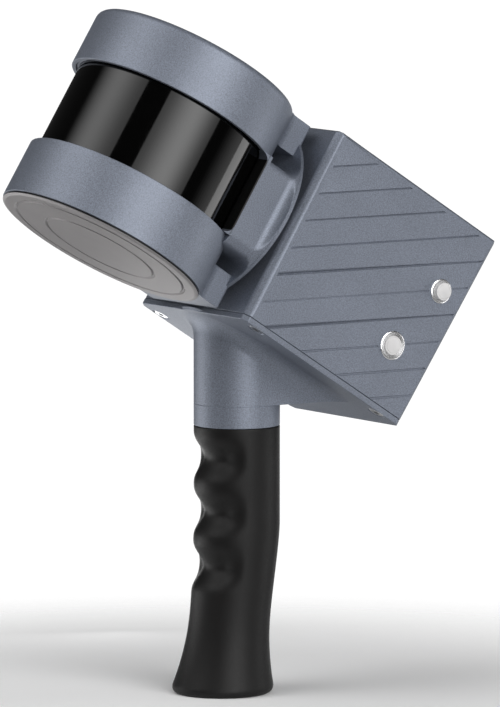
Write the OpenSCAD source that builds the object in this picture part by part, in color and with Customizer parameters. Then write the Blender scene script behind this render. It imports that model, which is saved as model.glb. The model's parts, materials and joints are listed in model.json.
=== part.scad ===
// Handheld laser scanner: a spinning lidar in a turning head, on the front of a tilted
// electronics box that a pistol grip carries.
// Millimetres, +Z up, the front towards -Y. Origin: the centre of the grip's base.
// Everything above the grip is drawn in a tilted frame: its origin is the middle of the
// box's front bottom edge, its Y runs back along the bottom plate, its Z up the front face.

/* [Grip and neck] */
// Height of the rubber grip
grip_h = 134; // [120:1:160]
// Radius of the neck and of the top of the grip
neck_r = 21.5; // [18:0.5:26]
// Extra radius of the grip at its foot
grip_flare = 6.2; // [3:0.1:8]
// How far the foot of the grip stands forward of the neck
grip_lean = 8.8; // [6:0.1:11]
// Depth of the finger grooves
finger_depth = 5.3; // [2:0.1:6.4]
// Height from one finger groove to the next
finger_pitch = 27.2; // [22:0.1:33]
// Height of the metal collar above the grip
collar_h = 11; // [8:0.5:16]
// Height of the neck casting at the front edge of the box
neck_h = 47.4; // [41:0.1:56]
// Distance from the front edge of the box back to the axis of the neck
neck_setback = 27.2; // [25:0.1:33]
// Fillet between the sides of the neck and the bottom plate
side_fillet = 10.5; // [6:0.5:13]
// Fillet between the front of the neck and the bottom plate
front_fillet = 14; // [8:0.5:17]
// Radius of the metal core inside the grip
core_r = 11; // [9:0.5:11]
// Wall radius of the tripod thread in the grip's base
tripod_r = 2.55; // [2.4:0.05:4.1]
// Depth of the tripod thread
tripod_depth = 10; // [8:0.5:12]

/* [Electronics box] */
// Lean of the box and head, down towards the back
tilt = 32.5; // [27:0.5:39]
// Width of the box
box_w = 95; // [95:1:120]
// Depth of the box along its bottom plate
box_d = 110; // [106:1:132]
// How much deeper the box is at the top than at the bottom
box_lean = 2.5; // [0:0.1:4]
// Height of the box along its front face
box_h = 107; // [104:1:130]
// Wall of the box
wall = 3; // [2.5:0.1:3.6]
// Thickness of the bottom plate
plate_t = 3; // [2.5:0.1:3.6]
// Thickness of the seal between the box and its bottom plate
gasket_t = 0.2; // [0.2:0.1:0.5]
// Bevel of the front side edges
front_bevel = 3; // [1:0.1:4]
// Bevel of the rear side edges
rear_bevel = 2.4; // [1:0.1:2.8]
// Bevel of the other edges
edge_bevel = 1; // [0.5:0.1:2]
// Number of level grooves on each side
groove_n = 10; // [1:1:11]
// Height from one level groove to the next
groove_pitch = 12.95; // [10:0.05:16]
// Width of a level groove
groove_w = 0.9; // [0.7:0.1:1.8]
// Depth of a level groove
groove_depth = 0.7; // [0.3:0.1:1.2]

/* [Scanning head] */
// Outer radius of the two head rings
ring_r = 54.3; // [52.5:0.1:65]
// Height of the lower ring
lower_ring_h = 31.5; // [31:0.5:38]
// Height of the open window between the rings
window_h = 45; // [40:0.5:54]
// Height of the upper cap
upper_cap_h = 29.5; // [28:0.5:35]
// Outer radius of the infrared window
window_r = 50.3; // [50.1:0.1:50.4]
// Wall of the infrared window
window_t = 2.5; // [1.5:0.1:3]
// Distance from the back of the lower ring to the front face of the box
ring_standoff = 9.1; // [8.5:0.1:12]
// Radius of the round back plate of the head
back_r = 50; // [47:0.5:52]
// Half width of the cheeks behind the window
cheek_x = 45; // [43:0.5:48]
// Half width of the two tail blocks of the rings
tail_x = 30; // [27:0.5:32]
// Height of a tail block
tail_h = 17.5; // [14:0.5:20]
// Running gap between the head's back plate and the box
head_gap = 5; // [4.9:0.1:5.4]
// Height of the pan axis on the box's front face
pan_z = 53.4; // [52:0.1:55]

/* [Pan drive] */
// Radius of the drive's flange on the front face
boss_r = 38; // [37:0.5:42]
// Radius of the drive's body inside the box
drive_r = 32; // [31.5:0.5:33]
// Bore radius of the pan bearings
bearing_bore_r = 8.5; // [8:0.5:9]
// Outer radius of the pan bearings
bearing_r = 15; // [14:0.5:16]
// Width of a pan bearing
bearing_w = 7; // [6:0.5:7]
// Length of the pan motor's magnet ring and coils
motor_len = 18; // [14:1:21]

/* [Buttons] */
// Radius of the power button's bezel
power_bezel_r = 7.3; // [7:0.1:8.4]
// Radius of the power button's cap
power_cap_r = 4.9; // [4:0.1:5.2]
// Radius of the record button's bezel
record_bezel_r = 6.2; // [6:0.1:7.4]
// Radius of the record button's cap
record_cap_r = 4.5; // [3:0.1:4.6]
// Travel of both buttons
button_travel = 1; // [0.5:0.1:1.4]

/* [Hidden] */
$fn = 96;

fit = 0.02;      // radial clearance of a shaft in its bore
seam = 0.1;      // clearance between fixed pieces
run = 0.3;       // clearance between moving pieces
slide = 0.08;    // radial clearance of a button cap in its bezel
eps = 0.01;

BODY = [0.48, 0.51, 0.56];
BODY_DARK = [0.30, 0.32, 0.35];
DISC = [0.45, 0.43, 0.43];
BLACK = [0.07, 0.07, 0.08];
RUBBER = [0.11, 0.10, 0.105];
STEEL = [0.72, 0.73, 0.75];
CHROME = [0.88, 0.88, 0.9];
BRASS = [0.78, 0.62, 0.32];
COPPER = [0.72, 0.42, 0.25];
BOARD = [0.08, 0.32, 0.18];
CHIP = [0.12, 0.12, 0.13];
CELL = [0.25, 0.42, 0.7];
CAP_GREY = [0.8, 0.8, 0.81];

// Where the box stands over the grip
neck_y = grip_lean;
casting_z = grip_h + collar_h;
box_y = neck_y - neck_setback;
box_z = casting_z + neck_h;

// Grip
grip_waist = 1.3;                // how much slimmer the grip is at half height
grip_edge = 4.5;                 // rounding of the lower rim
flare_h = 40;                    // height over which the foot flares
lean_h = 85;                     // height over which the grip leans forward
finger_top = grip_h - 16;        // height of the uppermost groove
finger_n = 3;
finger_flat = 34;                // half angle over which a groove keeps its full depth
finger_fade = 40;                // angle over which it fades out
grip_sides = 32;
grip_rings = 36;
foot_r = 17;
foot_h = 12;
cap_t = 3;
insert_r = 4.5;
insert_len = tripod_depth + 2;
cap_screw_at = 12.5;
cap_screw_n = 3;

// Bolt between the box and the grip's core
spigot_h = 15;
bolt_r = 4;
bolt_head_r = 6.5;
bolt_head_h = 7;
bolt_web = 8;
bolt_grip = 40;

// Box
half_w = box_w / 2;
in_x = half_w - wall;
in_y0 = wall;
in_z0 = plate_t;
shell_z0 = plate_t + gasket_t;
groove_top = 72.6;
groove_front = 5.5;
groove_rim = 2.9;
plate_screw_r = 2;
plate_screw_head = 4.2;
plate_screw_in = 4.5;
plate_screw_front = 12;
plate_screw_back = 13;
post_r = 4.5;
post_h = 22;

// Head, from the bottom of the lower ring up
lidar_y = -(ring_standoff + ring_r);
window_z0 = lower_ring_h;
window_z1 = lower_ring_h + window_h;
head_h = window_z1 + upper_cap_h;
ring_bore = window_r + 0.2;
ledge_r = ring_bore - 4.5;
disc_r = ring_r - 3;             // the end disc's body, inside the lower ring
disc_t = 3;
disc_rim_r = ring_r - 0.4;       // its rim, which covers the ring's end
disc_rim_t = 0.9;
ring_z0 = 1.5;                   // the ring's lower end
seal_t = 1.5;
ledge_z = disc_t + seal_t - 0.2;
ledge_t = 3;
back_t = 2;
back_y = -head_gap;
cheek_y = -27.7;
cheek_z0 = window_z0 - 4.5;
cheek_z1 = window_z1 - 1;
tail_edge = 1.5;
tail_screw_x = 20;
tail_screw_in = 10.5;
tail_screw_r = 1.5;
cap_top = 3.5;
cap_round = 3.5;
liner_t = 0.8;

// Lidar, inside the head
lidar_z0 = ledge_z + ledge_t + seam;
overlap_z = 5.5;                 // how far the window reaches behind each ring
glass_z0 = window_z0 - overlap_z;
glass_z1 = window_z1 + overlap_z;
seal_h = 0.5;
base_r = window_r - 0.1;
base_wall = 3.7;
// The tail screws end just short of the lidar's wall
tail_screw_len = back_y - lidar_y - sqrt(pow(base_r, 2) - pow(tail_screw_x - tail_screw_r, 2))
    - run;
floor_t = 3.4;
hub_r = 12;
lidar_top_z = glass_z1 + 16;
axle_r = 6;
turret_r = 42;
turret_z0 = window_z0 + 5.5;
turret_z1 = window_z1 - 4.5;
turret_front = 34;
turret_bearing_r = 11;
turret_bearing_w = 6;
lens_x = 17;
lens_r = 10;
lens_t = 4;
coil_r = 21.6;
magnet_r = 26;
magnet_h = 8;
lidar_board_r = 44;
pcb = 1.6;

// Pan drive, along the pan axis from the box's front face
boss_t = head_gap - 0.4;
seat_y = 5.4 - bearing_w;
drive_len = 40;
cavity_r = drive_r - 3;
cavity_y = 8;
throat_r = bearing_r - 2;
cover_hub_r = bearing_r + 3;
rear_seat_y = drive_len - bearing_w;
end_cover_t = 3;
motor_y = 11;
coil_in_r = 19.3;
shaft_bore = 5;
hub_flange_r = 16;
hub_flange_t = 3.6;
hub_y = back_y - hub_flange_t - 0.4;
shaft_end = drive_len + 10.5;
nut_r = 12;
nut_t = 5;
encoder_y = drive_len + 6.5;
encoder_t = 1.6;
encoder_r = 20;
encoder_cover_r = 30;
encoder_cover_y = drive_len + end_cover_t;
encoder_cover_len = 13;
slip_y = encoder_cover_y + encoder_cover_len;
slip_len = 20;
slip_r = 11;
slip_flange_r = 14;
slip_rod_r = shaft_bore - fit;
flange_screw_n = 6;
flange_screw_at = (boss_r + drive_r) / 2;
ball_n = 11;

// Electronics
standoff_h = 6.7;
board_x = standoff_h - in_x;
board_y0 = 46;
board_y1 = box_d - 6;
board_z0 = shell_z0 + post_h + 3;
board_z1 = box_h - 9;
board_hole = 4;
chip_w = 34;
cell_r = 9.15;
cell_len = 65;
cell_pitch = 18.9;
cell_n = 3;
holder_y = 46;
holder_floor = 1;
holder_end = 1.5;
holder_x = cell_len / 2 + 0.5 + holder_end;
holder_d = cell_n * cell_pitch + 1;
holder_top = in_z0 + holder_floor + 2 * cell_r + 0.3;
port_w = 9;
port_h = 3.3;
imu_x = 25;
imu_y = 20;
imu_w = 20;
imu_h = 9;

// Buttons, on the +X side: places in the tilted frame
power_y = 84.3;
power_z = 32.1;
record_y = 95.4;
record_z = 69.3;
bezel_lip = 0.9;
barrel_len = 15;
barrel_floor = 2;
cap_len = 10;
power_proud = 0.3;
record_proud = 2.3;
button_nut_t = 3;

// ---- frames -------------------------------------------------------------------------

// The tilted frame of the box and the head
module tilted() translate([0, box_y, box_z]) rotate([-tilt, 0, 0]) children();

// Along the pan axis: Z becomes the tilted frame's Y, starting at y
module pan(y) translate([0, y, pan_z]) rotate([-90, 0, 0]) children();

// Along the lidar's spin axis, starting at z
module spin(z) translate([0, lidar_y, z]) children();

// On the box's +X face, Z pointing out of it
module on_side(y, z) translate([half_w, y, z]) rotate([0, 90, 0]) children();

// Extrudes a (Y, Z) outline along X, centred
module along_x(width) rotate([90, 0, 90]) linear_extrude(width, center = true) children();

// ---- shared shapes ------------------------------------------------------------------

// A tube standing on z = 0
module tube(outer, inner, height) difference() {
    cylinder(r = outer, h = height);
    translate([0, 0, -1]) cylinder(r = inner, h = height + 2);
}

// A screw whose head's top is at z = 0 and whose shank points down
module screw(head_r, head_h, shank_r, length) difference() {
    union() {
        translate([0, 0, -head_h]) cylinder(r = head_r, h = head_h);
        translate([0, 0, -length]) cylinder(r = shank_r, h = length);
    }
    translate([0, 0, -head_h * 0.6]) cylinder(r = shank_r * 0.62, h = head_h, $fn = 6);
}

// The room that such a screw takes, for holes in the pieces that it passes through
module screw_room(head_r, head_h, shank_r, length) {
    translate([0, 0, -head_h - eps]) cylinder(r = head_r + seam, h = head_h + 20);
    translate([0, 0, -length - 1]) cylinder(r = shank_r + fit, h = length + 1);
}

// Children repeated n times about Z at a radius
module around(n, radius, turn = 0)
    for (i = [0 : n - 1]) rotate([0, 0, turn + i * 360 / n]) translate([radius, 0, 0]) children();

// ---- the grip's surface -------------------------------------------------------------

function smooth(t) = let (c = min(1, max(0, t))) c * c * (3 - 2 * c);
// Radius of the grip at height z, without its grooves and its rounded lower rim
function grip_radius(z) = neck_r - grip_waist * (1 - smooth((z - flare_h) / (lean_h - flare_h)))
    + grip_flare * pow(max(0, 1 - z / flare_h), 2);
// Y of the grip's centre line at height z
function grip_centre(z) = neck_y - grip_lean * pow(max(0, 1 - z / lean_h), 1.25);
// Loss of radius at the rounded lower rim
function rim_loss(z) = z >= grip_edge ? 0
    : grip_edge - sqrt(max(0, pow(grip_edge, 2) - pow(grip_edge - z, 2)));
// Depth of the finger grooves at height z, full in front
function groove_at(z) = let (s = (finger_top - z) / finger_pitch)
    s < -0.5 || s > finger_n - 0.5 ? 0 : finger_depth * pow(0.5 + 0.5 * cos(360 * s), 1.3);
// Share of a groove's depth at an angle from the front
function groove_share(a) = 1 - smooth((abs(a) - finger_flat) / finger_fade);
function grip_point(z, a) =
    let (r = grip_radius(z) - rim_loss(z) - groove_at(z) * groove_share(a))
    [r * sin(a), grip_centre(z) - r * cos(a), z];

// Skins a stack of rings of equal length into a closed solid
module skin(rings) {
    n = len(rings[0]);
    m = len(rings);
    points = [for (ring = rings) each ring];
    sides = [for (j = [0 : m - 2], i = [0 : n - 1])
        [j * n + i, j * n + (i + 1) % n, (j + 1) * n + (i + 1) % n, (j + 1) * n + i]];
    polyhedron(points, concat([[for (i = [n - 1 : -1 : 0]) i]], sides,
        [[for (i = [0 : n - 1]) (m - 1) * n + i]]));
}

module grip_solid() {
    rim_z = [for (i = [0 : 3]) grip_edge * (1 - cos(i * 22.5))];
    body_z = [for (j = [0 : grip_rings]) grip_edge + (grip_h - grip_edge) * j / grip_rings];
    skin([for (z = concat(rim_z, body_z))
        [for (i = [0 : grip_sides - 1]) grip_point(z, 180 - i * 360 / grip_sides)]]);
}

// ---- the neck's blend into the bottom plate -----------------------------------------

// Height of the bottom plate's underside over a point at y
function under(y) = box_z - (y - box_y) * tan(tilt);
gusset_y = box_y + neck_h / tan(tilt);
// The neck's plan outline, each point with its outward direction
neck_plan = concat(
    [for (i = [6 : -1 : 0]) [[neck_r, neck_y + (gusset_y - 0.3 - neck_y) * i / 6], 90]],
    [for (a = [75 : -15 : -75]) [[neck_r * sin(a), neck_y - neck_r * cos(a)], a]],
    [for (i = [0 : 6]) [[-neck_r, neck_y + (gusset_y - 0.3 - neck_y) * i / 6], -90]]);
// One point of the blend: from the foot of the wall (t = 0) round onto the plate (t = 1)
function blend_point(p, a, t) =
    let (slope = tan(tilt) * cos(a), reach = sqrt(1 + slope * slope),
        r = side_fillet + (front_fillet - side_fillet) * max(0, cos(a)),
        centre_z = under(p[1]) + slope * r - reach * r,
        end = 90 + atan(slope),
        start = centre_z < casting_z ? 180 - asin(min(1, (casting_z - centre_z) / r)) : 180,
        turn = start + (max(end, 0) - start) * t,
        out = r + r * cos(turn))
    [p[0] + out * sin(a), p[1] - out * cos(a), max(casting_z, centre_z + r * sin(turn))];
blend_steps = 6;

module neck_blend() {
    foot = [for (q = neck_plan) let (f = blend_point(q[0], q[1], 0)) [f[0], f[1], casting_z]];
    curve = [for (j = [0 : blend_steps]) [for (q = neck_plan)
        blend_point(q[0], q[1], j / blend_steps) + [0, 0, 0.02 * (j + 1)]]];
    root = [for (p = curve[blend_steps]) p + [0, 0, 1.5]];
    skin(concat([foot], curve, [root]));
}

// ---- the box's outline --------------------------------------------------------------

// Depth of the box at height z, less a rim
function depth_at(z, rim = 0) = box_d + box_lean * z / box_h - rim;

module rear_edges() for (side = [0, 1]) mirror([side, 0, 0]) translate([half_w, box_d, 0])
    rotate([-atan(box_lean / box_h), 0, 0]) rotate([0, 0, 45])
        translate([-rear_bevel / sqrt(2), -10, -5]) cube([20, 20, box_h + 15]);

module box_outer() difference() {
    box_prism();
    rear_edges();
}

module box_prism() intersection() {
    along_x(box_w) polygon([[0, 0], [box_d, 0], [depth_at(box_h), box_h - edge_bevel],
        [depth_at(box_h, edge_bevel), box_h], [edge_bevel, box_h], [0, box_h - edge_bevel]]);
    linear_extrude(box_h) polygon([[front_bevel - half_w, 0], [half_w - front_bevel, 0],
        [half_w, front_bevel], [half_w, box_d + box_lean], [-half_w, box_d + box_lean],
        [-half_w, front_bevel]]);
    translate([0, box_d + box_lean, 0]) rotate([90, 0, 0]) linear_extrude(box_d + box_lean)
        polygon([[-half_w, 0], [half_w, 0], [half_w, box_h - edge_bevel],
            [half_w - edge_bevel, box_h], [edge_bevel - half_w, box_h],
            [-half_w, box_h - edge_bevel]]);
}

module box_inner() along_x(2 * in_x) polygon([[wall, -1], [depth_at(0, wall), -1],
    [depth_at(box_h - wall, wall), box_h - wall], [wall, box_h - wall]]);

module plate_screw_places() for (x = [-1, 1], y = [plate_screw_front, box_d - plate_screw_back])
    translate([x * (half_w - plate_screw_in), y, 0]) rotate([180, 0, 0]) children();

// Level grooves of both side faces, clear of the edges and of the buttons
module level_grooves() difference() {
    intersection() {
        rotate([tilt, 0, 0]) for (k = [0 : groove_n - 1])
            translate([-box_w, -box_h, groove_top - k * groove_pitch - groove_w / 2])
                cube([2 * box_w, 2 * (box_d + box_h), groove_w]);
        along_x(2 * box_w) polygon([[groove_front, groove_rim],
            [depth_at(groove_rim, groove_rim), groove_rim],
            [depth_at(box_h - groove_rim, groove_rim), box_h - groove_rim],
            [groove_front, box_h - groove_rim]]);
    }
    translate([groove_depth - half_w, -box_d, -box_h])
        cube([box_w - 2 * groove_depth, 3 * box_d, 3 * box_h]);
    on_side(power_y, power_z) translate([0, 0, -wall])
        cylinder(r = power_bezel_r + 1, h = 2 * wall);
    on_side(record_y, record_z) translate([0, 0, -wall])
        cylinder(r = record_bezel_r + 1, h = 2 * wall);
}

function barrel_r(bezel_r) = bezel_r - 1.2;

// ---- box ----------------------------------------------------------------------------

module housing_shell() color(BODY) tilted() difference() {
    union() {
        difference() {
            box_outer();
            box_inner();
        }
        intersection() {
            box_outer();
            plate_screw_places() translate([0, 0, -post_h - shell_z0])
                cylinder(r = post_r, h = post_h);
        }
    }
    translate([-box_w, -1, -1]) cube([2 * box_w, 2 * box_d, shell_z0 + 1]);
    level_grooves();
    plate_screw_places() screw_room(plate_screw_head, 2, plate_screw_r, 16);
    pan(-1) cylinder(r = drive_r + seam, h = wall + 2);
    pan(0) around(flange_screw_n, flange_screw_at) translate([0, 0, -1])
        cylinder(r = 1.5 + fit, h = wall + 2);
    on_side(power_y, power_z) translate([0, 0, -wall - 1])
        cylinder(r = barrel_r(power_bezel_r) + seam, h = wall + 2);
    on_side(record_y, record_z) translate([0, 0, -wall - 1])
        cylinder(r = barrel_r(record_bezel_r) + seam, h = wall + 2);
    port_room();
}

// The bottom plate, the gusset and the neck in one casting
module neck_casting() color(BODY) difference() {
    union() {
        neck_blend();
        tilted() intersection() {
            box_outer();
            translate([-box_w, -1, 0]) cube([2 * box_w, 2 * box_d, plate_t]);
        }
    }
    tilted() plate_screw_places() screw_room(plate_screw_head, 2, plate_screw_r, 16);
    tilted() imu_places() translate([0, 0, -plate_t]) cylinder(r = 1 + fit, h = plate_t + 1);
    translate([0, neck_y, casting_z - 1]) cylinder(r = core_r + fit, h = spigot_h + 1);
    translate([0, neck_y, casting_z]) cylinder(r = bolt_r + seam, h = spigot_h + bolt_web + 1);
    translate([0, neck_y, casting_z + spigot_h + bolt_web])
        cylinder(r = bolt_head_r + 0.5, h = 2 * neck_h);
}

module bottom_gasket() color(BLACK) tilted() difference() {
    translate([0, 0, plate_t]) linear_extrude(gasket_t) difference() {
        translate([edge_bevel - half_w, front_bevel])
            square([box_w - 2 * edge_bevel, box_d - front_bevel - rear_bevel]);
        translate([-in_x, in_y0 + front_bevel]) square([2 * in_x, box_d - 2 * wall - front_bevel]);
    }
    plate_screw_places() screw_room(plate_screw_head, 2, plate_screw_r, 16);
}

module bottom_screws() color(STEEL) tilted() plate_screw_places()
    screw(plate_screw_head, 2, plate_screw_r, 16);

// ---- grip ---------------------------------------------------------------------------

module neck_collar() color(BODY) translate([0, neck_y, grip_h])
    tube(neck_r, core_r + fit, collar_h);

// Upright core with a foot that carries the tripod thread
module handle_core() color(BODY_DARK) difference() {
    union() {
        translate([0, 0, cap_t]) cylinder(r = foot_r, h = foot_h);
        translate([0, neck_y, cap_t]) cylinder(r = core_r, h = casting_z + spigot_h - cap_t - fit);
    }
    translate([0, neck_y, casting_z + spigot_h - bolt_grip])
        cylinder(r = bolt_r + fit, h = bolt_grip + 1);
    cylinder(r = insert_r + fit, h = insert_len + seam);
    translate([0, 0, cap_t]) around(cap_screw_n, cap_screw_at, -90) translate([0, 0, -1])
        cylinder(r = 1.25 + fit, h = 8);
}

module handle_bolt() color(STEEL)
    translate([0, neck_y, casting_z + spigot_h + bolt_web + bolt_head_h])
        screw(bolt_head_r, bolt_head_h, bolt_r, bolt_head_h + bolt_web + bolt_grip - 3);

module rubber_grip() color(RUBBER) difference() {
    grip_solid();
    translate([0, neck_y, -1]) cylinder(r = core_r + seam, h = grip_h + 2);
    translate([0, 0, -1]) cylinder(r = foot_r + seam, h = cap_t + foot_h + 1 + seam);
}

module base_cap() color(BLACK) difference() {
    cylinder(r = foot_r, h = cap_t);
    translate([0, 0, -1]) cylinder(r = insert_r + fit, h = cap_t + 2);
    around(cap_screw_n, cap_screw_at, -90) rotate([180, 0, 0]) screw_room(2.4, 1.4, 1.25, 8);
}

module base_cap_screws() color(STEEL) around(cap_screw_n, cap_screw_at, -90)
    rotate([180, 0, 0]) screw(2.4, 1.4, 1.25, 8);

module tripod_insert() color(BRASS) difference() {
    cylinder(r = insert_r, h = insert_len);
    translate([0, 0, -1]) cylinder(r = tripod_r, h = tripod_depth + 1);
}

// ---- pan drive, fixed side ----------------------------------------------------------

module drive_housing() color(BODY_DARK) tilted() difference() {
    union() {
        pan(-boss_t) cylinder(r = boss_r, h = boss_t);
        pan(-boss_t) cylinder(r = drive_r, h = boss_t + drive_len);
    }
    pan(-boss_t - 1) cylinder(r = throat_r, h = boss_t + drive_len);
    pan(seat_y) cylinder(r = bearing_r + fit, h = bearing_w + 1);
    pan(cavity_y) cylinder(r = cavity_r, h = drive_len);
    pan(-boss_t) around(flange_screw_n, flange_screw_at) rotate([180, 0, 0])
        screw_room(2.4, 1.6, 1.5, boss_t + wall);
    pan(drive_len) around(4, drive_r - 1.9, 45) rotate([180, 0, 0]) translate([0, 0, -0.01])
        cylinder(r = 0.8 + fit, h = 6);
}

module drive_flange_screws() color(STEEL) tilted() pan(-boss_t)
    around(flange_screw_n, flange_screw_at) rotate([180, 0, 0])
        screw(2.4, 1.6, 1.5, boss_t + wall);

module drive_end_cover() color(BODY_DARK) tilted() difference() {
    union() {
        pan(drive_len) cylinder(r = drive_r, h = end_cover_t);
        pan(rear_seat_y) cylinder(r = cover_hub_r, h = bearing_w + 1);
    }
    pan(rear_seat_y - 1) cylinder(r = throat_r, h = bearing_w + end_cover_t + 2);
    pan(rear_seat_y - 1) cylinder(r = bearing_r + fit, h = bearing_w + 1);
    pan(drive_len + end_cover_t) around(4, drive_r - 1.9, 45) screw_room(1.5, 1, 0.8, 8);
}

module end_cover_screws() color(STEEL) tilted() pan(drive_len + end_cover_t)
    around(4, drive_r - 1.9, 45) screw(1.5, 1, 0.8, 8);

module motor_stator() color(COPPER) tilted() pan(motor_y)
    tube(cavity_r - fit, coil_in_r, motor_len);

// Both pan bearings: children are drawn at the front of each
module at_bearings() for (y = [seat_y, rear_seat_y]) pan(y) children();
race_t = (bearing_r - bearing_bore_r) * 0.28;
ball_r = (bearing_r - bearing_bore_r) / 2 - race_t - run / 2;
module bearing_outer_races() color(STEEL) tilted() at_bearings()
    tube(bearing_r, bearing_r - race_t, bearing_w);

module bearing_balls() color(CHROME) tilted() at_bearings() translate([0, 0, bearing_w / 2])
    around(ball_n, (bearing_r + bearing_bore_r) / 2) sphere(r = ball_r, $fn = 24);

module encoder_cover() color(BLACK) tilted() difference() {
    pan(encoder_cover_y) cylinder(r = encoder_cover_r, h = encoder_cover_len);
    pan(encoder_cover_y - 1) cylinder(r = encoder_cover_r - 2, h = encoder_cover_len - 1);
    pan(encoder_cover_y) cylinder(r = slip_r - 2, h = encoder_cover_len + 1);
}

module encoder_board() color(BOARD) tilted() pan(slip_y - 2 - pcb)
    tube(encoder_cover_r - 2 - seam, slip_r, pcb);

module slip_ring_stator() color(BLACK) tilted() pan(slip_y) difference() {
    union() {
        cylinder(r = slip_flange_r, h = 2);
        cylinder(r = slip_r, h = slip_len);
    }
    translate([0, 0, -1]) cylinder(r = slip_rod_r + run, h = slip_len - 1);
}

// ---- electronics --------------------------------------------------------------------

module board_holes() for (y = [board_y0 + board_hole, board_y1 - board_hole],
    z = [board_z0 + board_hole, board_z1 - board_hole])
    translate([-in_x, y, z]) rotate([0, 90, 0]) children();

module main_board() color(BOARD) tilted() difference() {
    translate([board_x, board_y0, board_z0])
        cube([pcb, board_y1 - board_y0, board_z1 - board_z0]);
    board_holes() cylinder(r = 1.25 + seam, h = standoff_h + pcb + 1);
}

module board_standoffs() color(BRASS) tilted() board_holes() tube(2.5, 1.25 + fit, standoff_h);

module board_screws() color(STEEL) tilted() board_holes()
    translate([0, 0, standoff_h + pcb + 1.2]) screw(2.3, 1.2, 1.25, 7);

board_mid_y = (board_y0 + board_y1) / 2;
board_mid_z = (board_z0 + board_z1) / 2;
module processor_module() color(CHIP) tilted()
    translate([board_x - 2.5, board_mid_y - chip_w / 2, board_mid_z - chip_w / 2])
        cube([2.5, chip_w, chip_w]);

module heat_spreader() color(STEEL) tilted()
    translate([-in_x, board_mid_y - chip_w / 2 - 2, board_mid_z - chip_w / 2 - 2])
        cube([standoff_h - 2.5, chip_w + 4, chip_w + 4]);

module storage_module() color(CHIP) tilted()
    translate([board_x + pcb, board_y0 + 12, board_mid_z + 4]) cube([3, 42, 22]);

module imu_places() for (x = [-1, 1]) translate([imu_x + x * (imu_w / 2 - 2.5), imu_y, plate_t])
    children();

module imu_module() color(BLACK) tilted() difference() {
    union() {
        translate([imu_x - imu_w / 2, imu_y - imu_w / 2, plate_t]) cube([imu_w, imu_w, 3]);
        translate([imu_x - imu_w / 2 + 5, imu_y - imu_w / 2, plate_t])
            cube([imu_w - 10, imu_w, imu_h]);
    }
    imu_places() translate([0, 0, -1]) cylinder(r = 1 + seam, h = 5);
}

module imu_screws() color(STEEL) tilted() imu_places() translate([0, 0, 4])
    screw(1.9, 1, 1, 4 + plate_t - 0.5);

cell_z = in_z0 + holder_floor + cell_r;
module battery_cells() color(CELL) tilted() for (i = [0 : cell_n - 1])
    translate([-cell_len / 2, holder_y + 0.5 + cell_pitch * (i + 0.5), cell_z])
        rotate([0, 90, 0]) cylinder(r = cell_r, h = cell_len);

module battery_holder() color(CHIP) tilted() {
    translate([-holder_x, holder_y, in_z0]) cube([2 * holder_x, holder_d, holder_floor]);
    for (x = [-holder_x, holder_x - holder_end])
        translate([x, holder_y, in_z0]) cube([holder_end, holder_d, holder_top - in_z0]);
}

board2_d = box_d - 6 - 60;
module power_board() color(BOARD) tilted()
    translate([-holder_x, 60, holder_top]) cube([2 * holder_x, board2_d, pcb]);

module charge_port() color(STEEL) tilted() difference() {
    translate([-port_w / 2, box_d - 12, holder_top + pcb]) cube([port_w, 12.4, port_h]);
    translate([0.5 - port_w / 2, box_d - 6, holder_top + pcb + 0.5])
        cube([port_w - 1, 12, port_h - 1]);
}

module port_room() translate([-port_w / 2 - seam, box_d - 12, holder_top + pcb - seam])
    cube([port_w + 2 * seam, 20, port_h + 2 * seam]);

// ---- buttons ------------------------------------------------------------------------

// Bezel, threaded barrel and closed switch body in one, with a blind bore for the cap
module bezel(bezel_r, cap_r) difference() {
    union() {
        cylinder(r1 = bezel_r, r2 = bezel_r - 0.5, h = bezel_lip);
        translate([0, 0, -barrel_len]) cylinder(r = barrel_r(bezel_r), h = barrel_len);
    }
    translate([0, 0, barrel_floor - barrel_len])
        cylinder(r = cap_r + slide, h = barrel_len + bezel_lip + 1);
}

module power_button_bezel() color(CHROME) tilted() on_side(power_y, power_z)
    bezel(power_bezel_r, power_cap_r);

module record_button_bezel() color(CHROME) tilted() on_side(record_y, record_z)
    bezel(record_bezel_r, record_cap_r);

module power_button_cap() color(CAP_GREY) tilted() on_side(power_y, power_z)
    translate([0, 0, bezel_lip + power_proud - cap_len]) cylinder(r = power_cap_r, h = cap_len);

module record_button_cap() color(CAP_GREY) tilted() on_side(record_y, record_z)
    translate([0, 0, bezel_lip + record_proud - cap_len])
        cylinder(r = record_cap_r, h = cap_len);

module button_nuts() color(STEEL) tilted() {
    on_side(power_y, power_z) translate([0, 0, -wall - button_nut_t])
        tube(barrel_r(power_bezel_r) + 2, barrel_r(power_bezel_r) + seam, button_nut_t);
    on_side(record_y, record_z) translate([0, 0, -wall - button_nut_t])
        tube(barrel_r(record_bezel_r) + 2, barrel_r(record_bezel_r) + seam, button_nut_t);
}

// ---- turning head -------------------------------------------------------------------

module tail_screw_places() for (x = [-1, 1], z = [tail_screw_in, head_h - tail_screw_in])
    translate([x * tail_screw_x, back_y, z]) rotate([-90, 0, 0]) children();

// A tail block from the ring to the back plate, standing on z0
module tail(z0) translate([-tail_x, lidar_y + ring_r - 12, z0])
    cube([2 * tail_x, back_y - lidar_y - ring_r + 12, tail_h]);

module back_plate_room() pan(back_y - back_t - seam / 2)
    cylinder(r = back_r + seam, h = back_t + 1);

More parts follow.
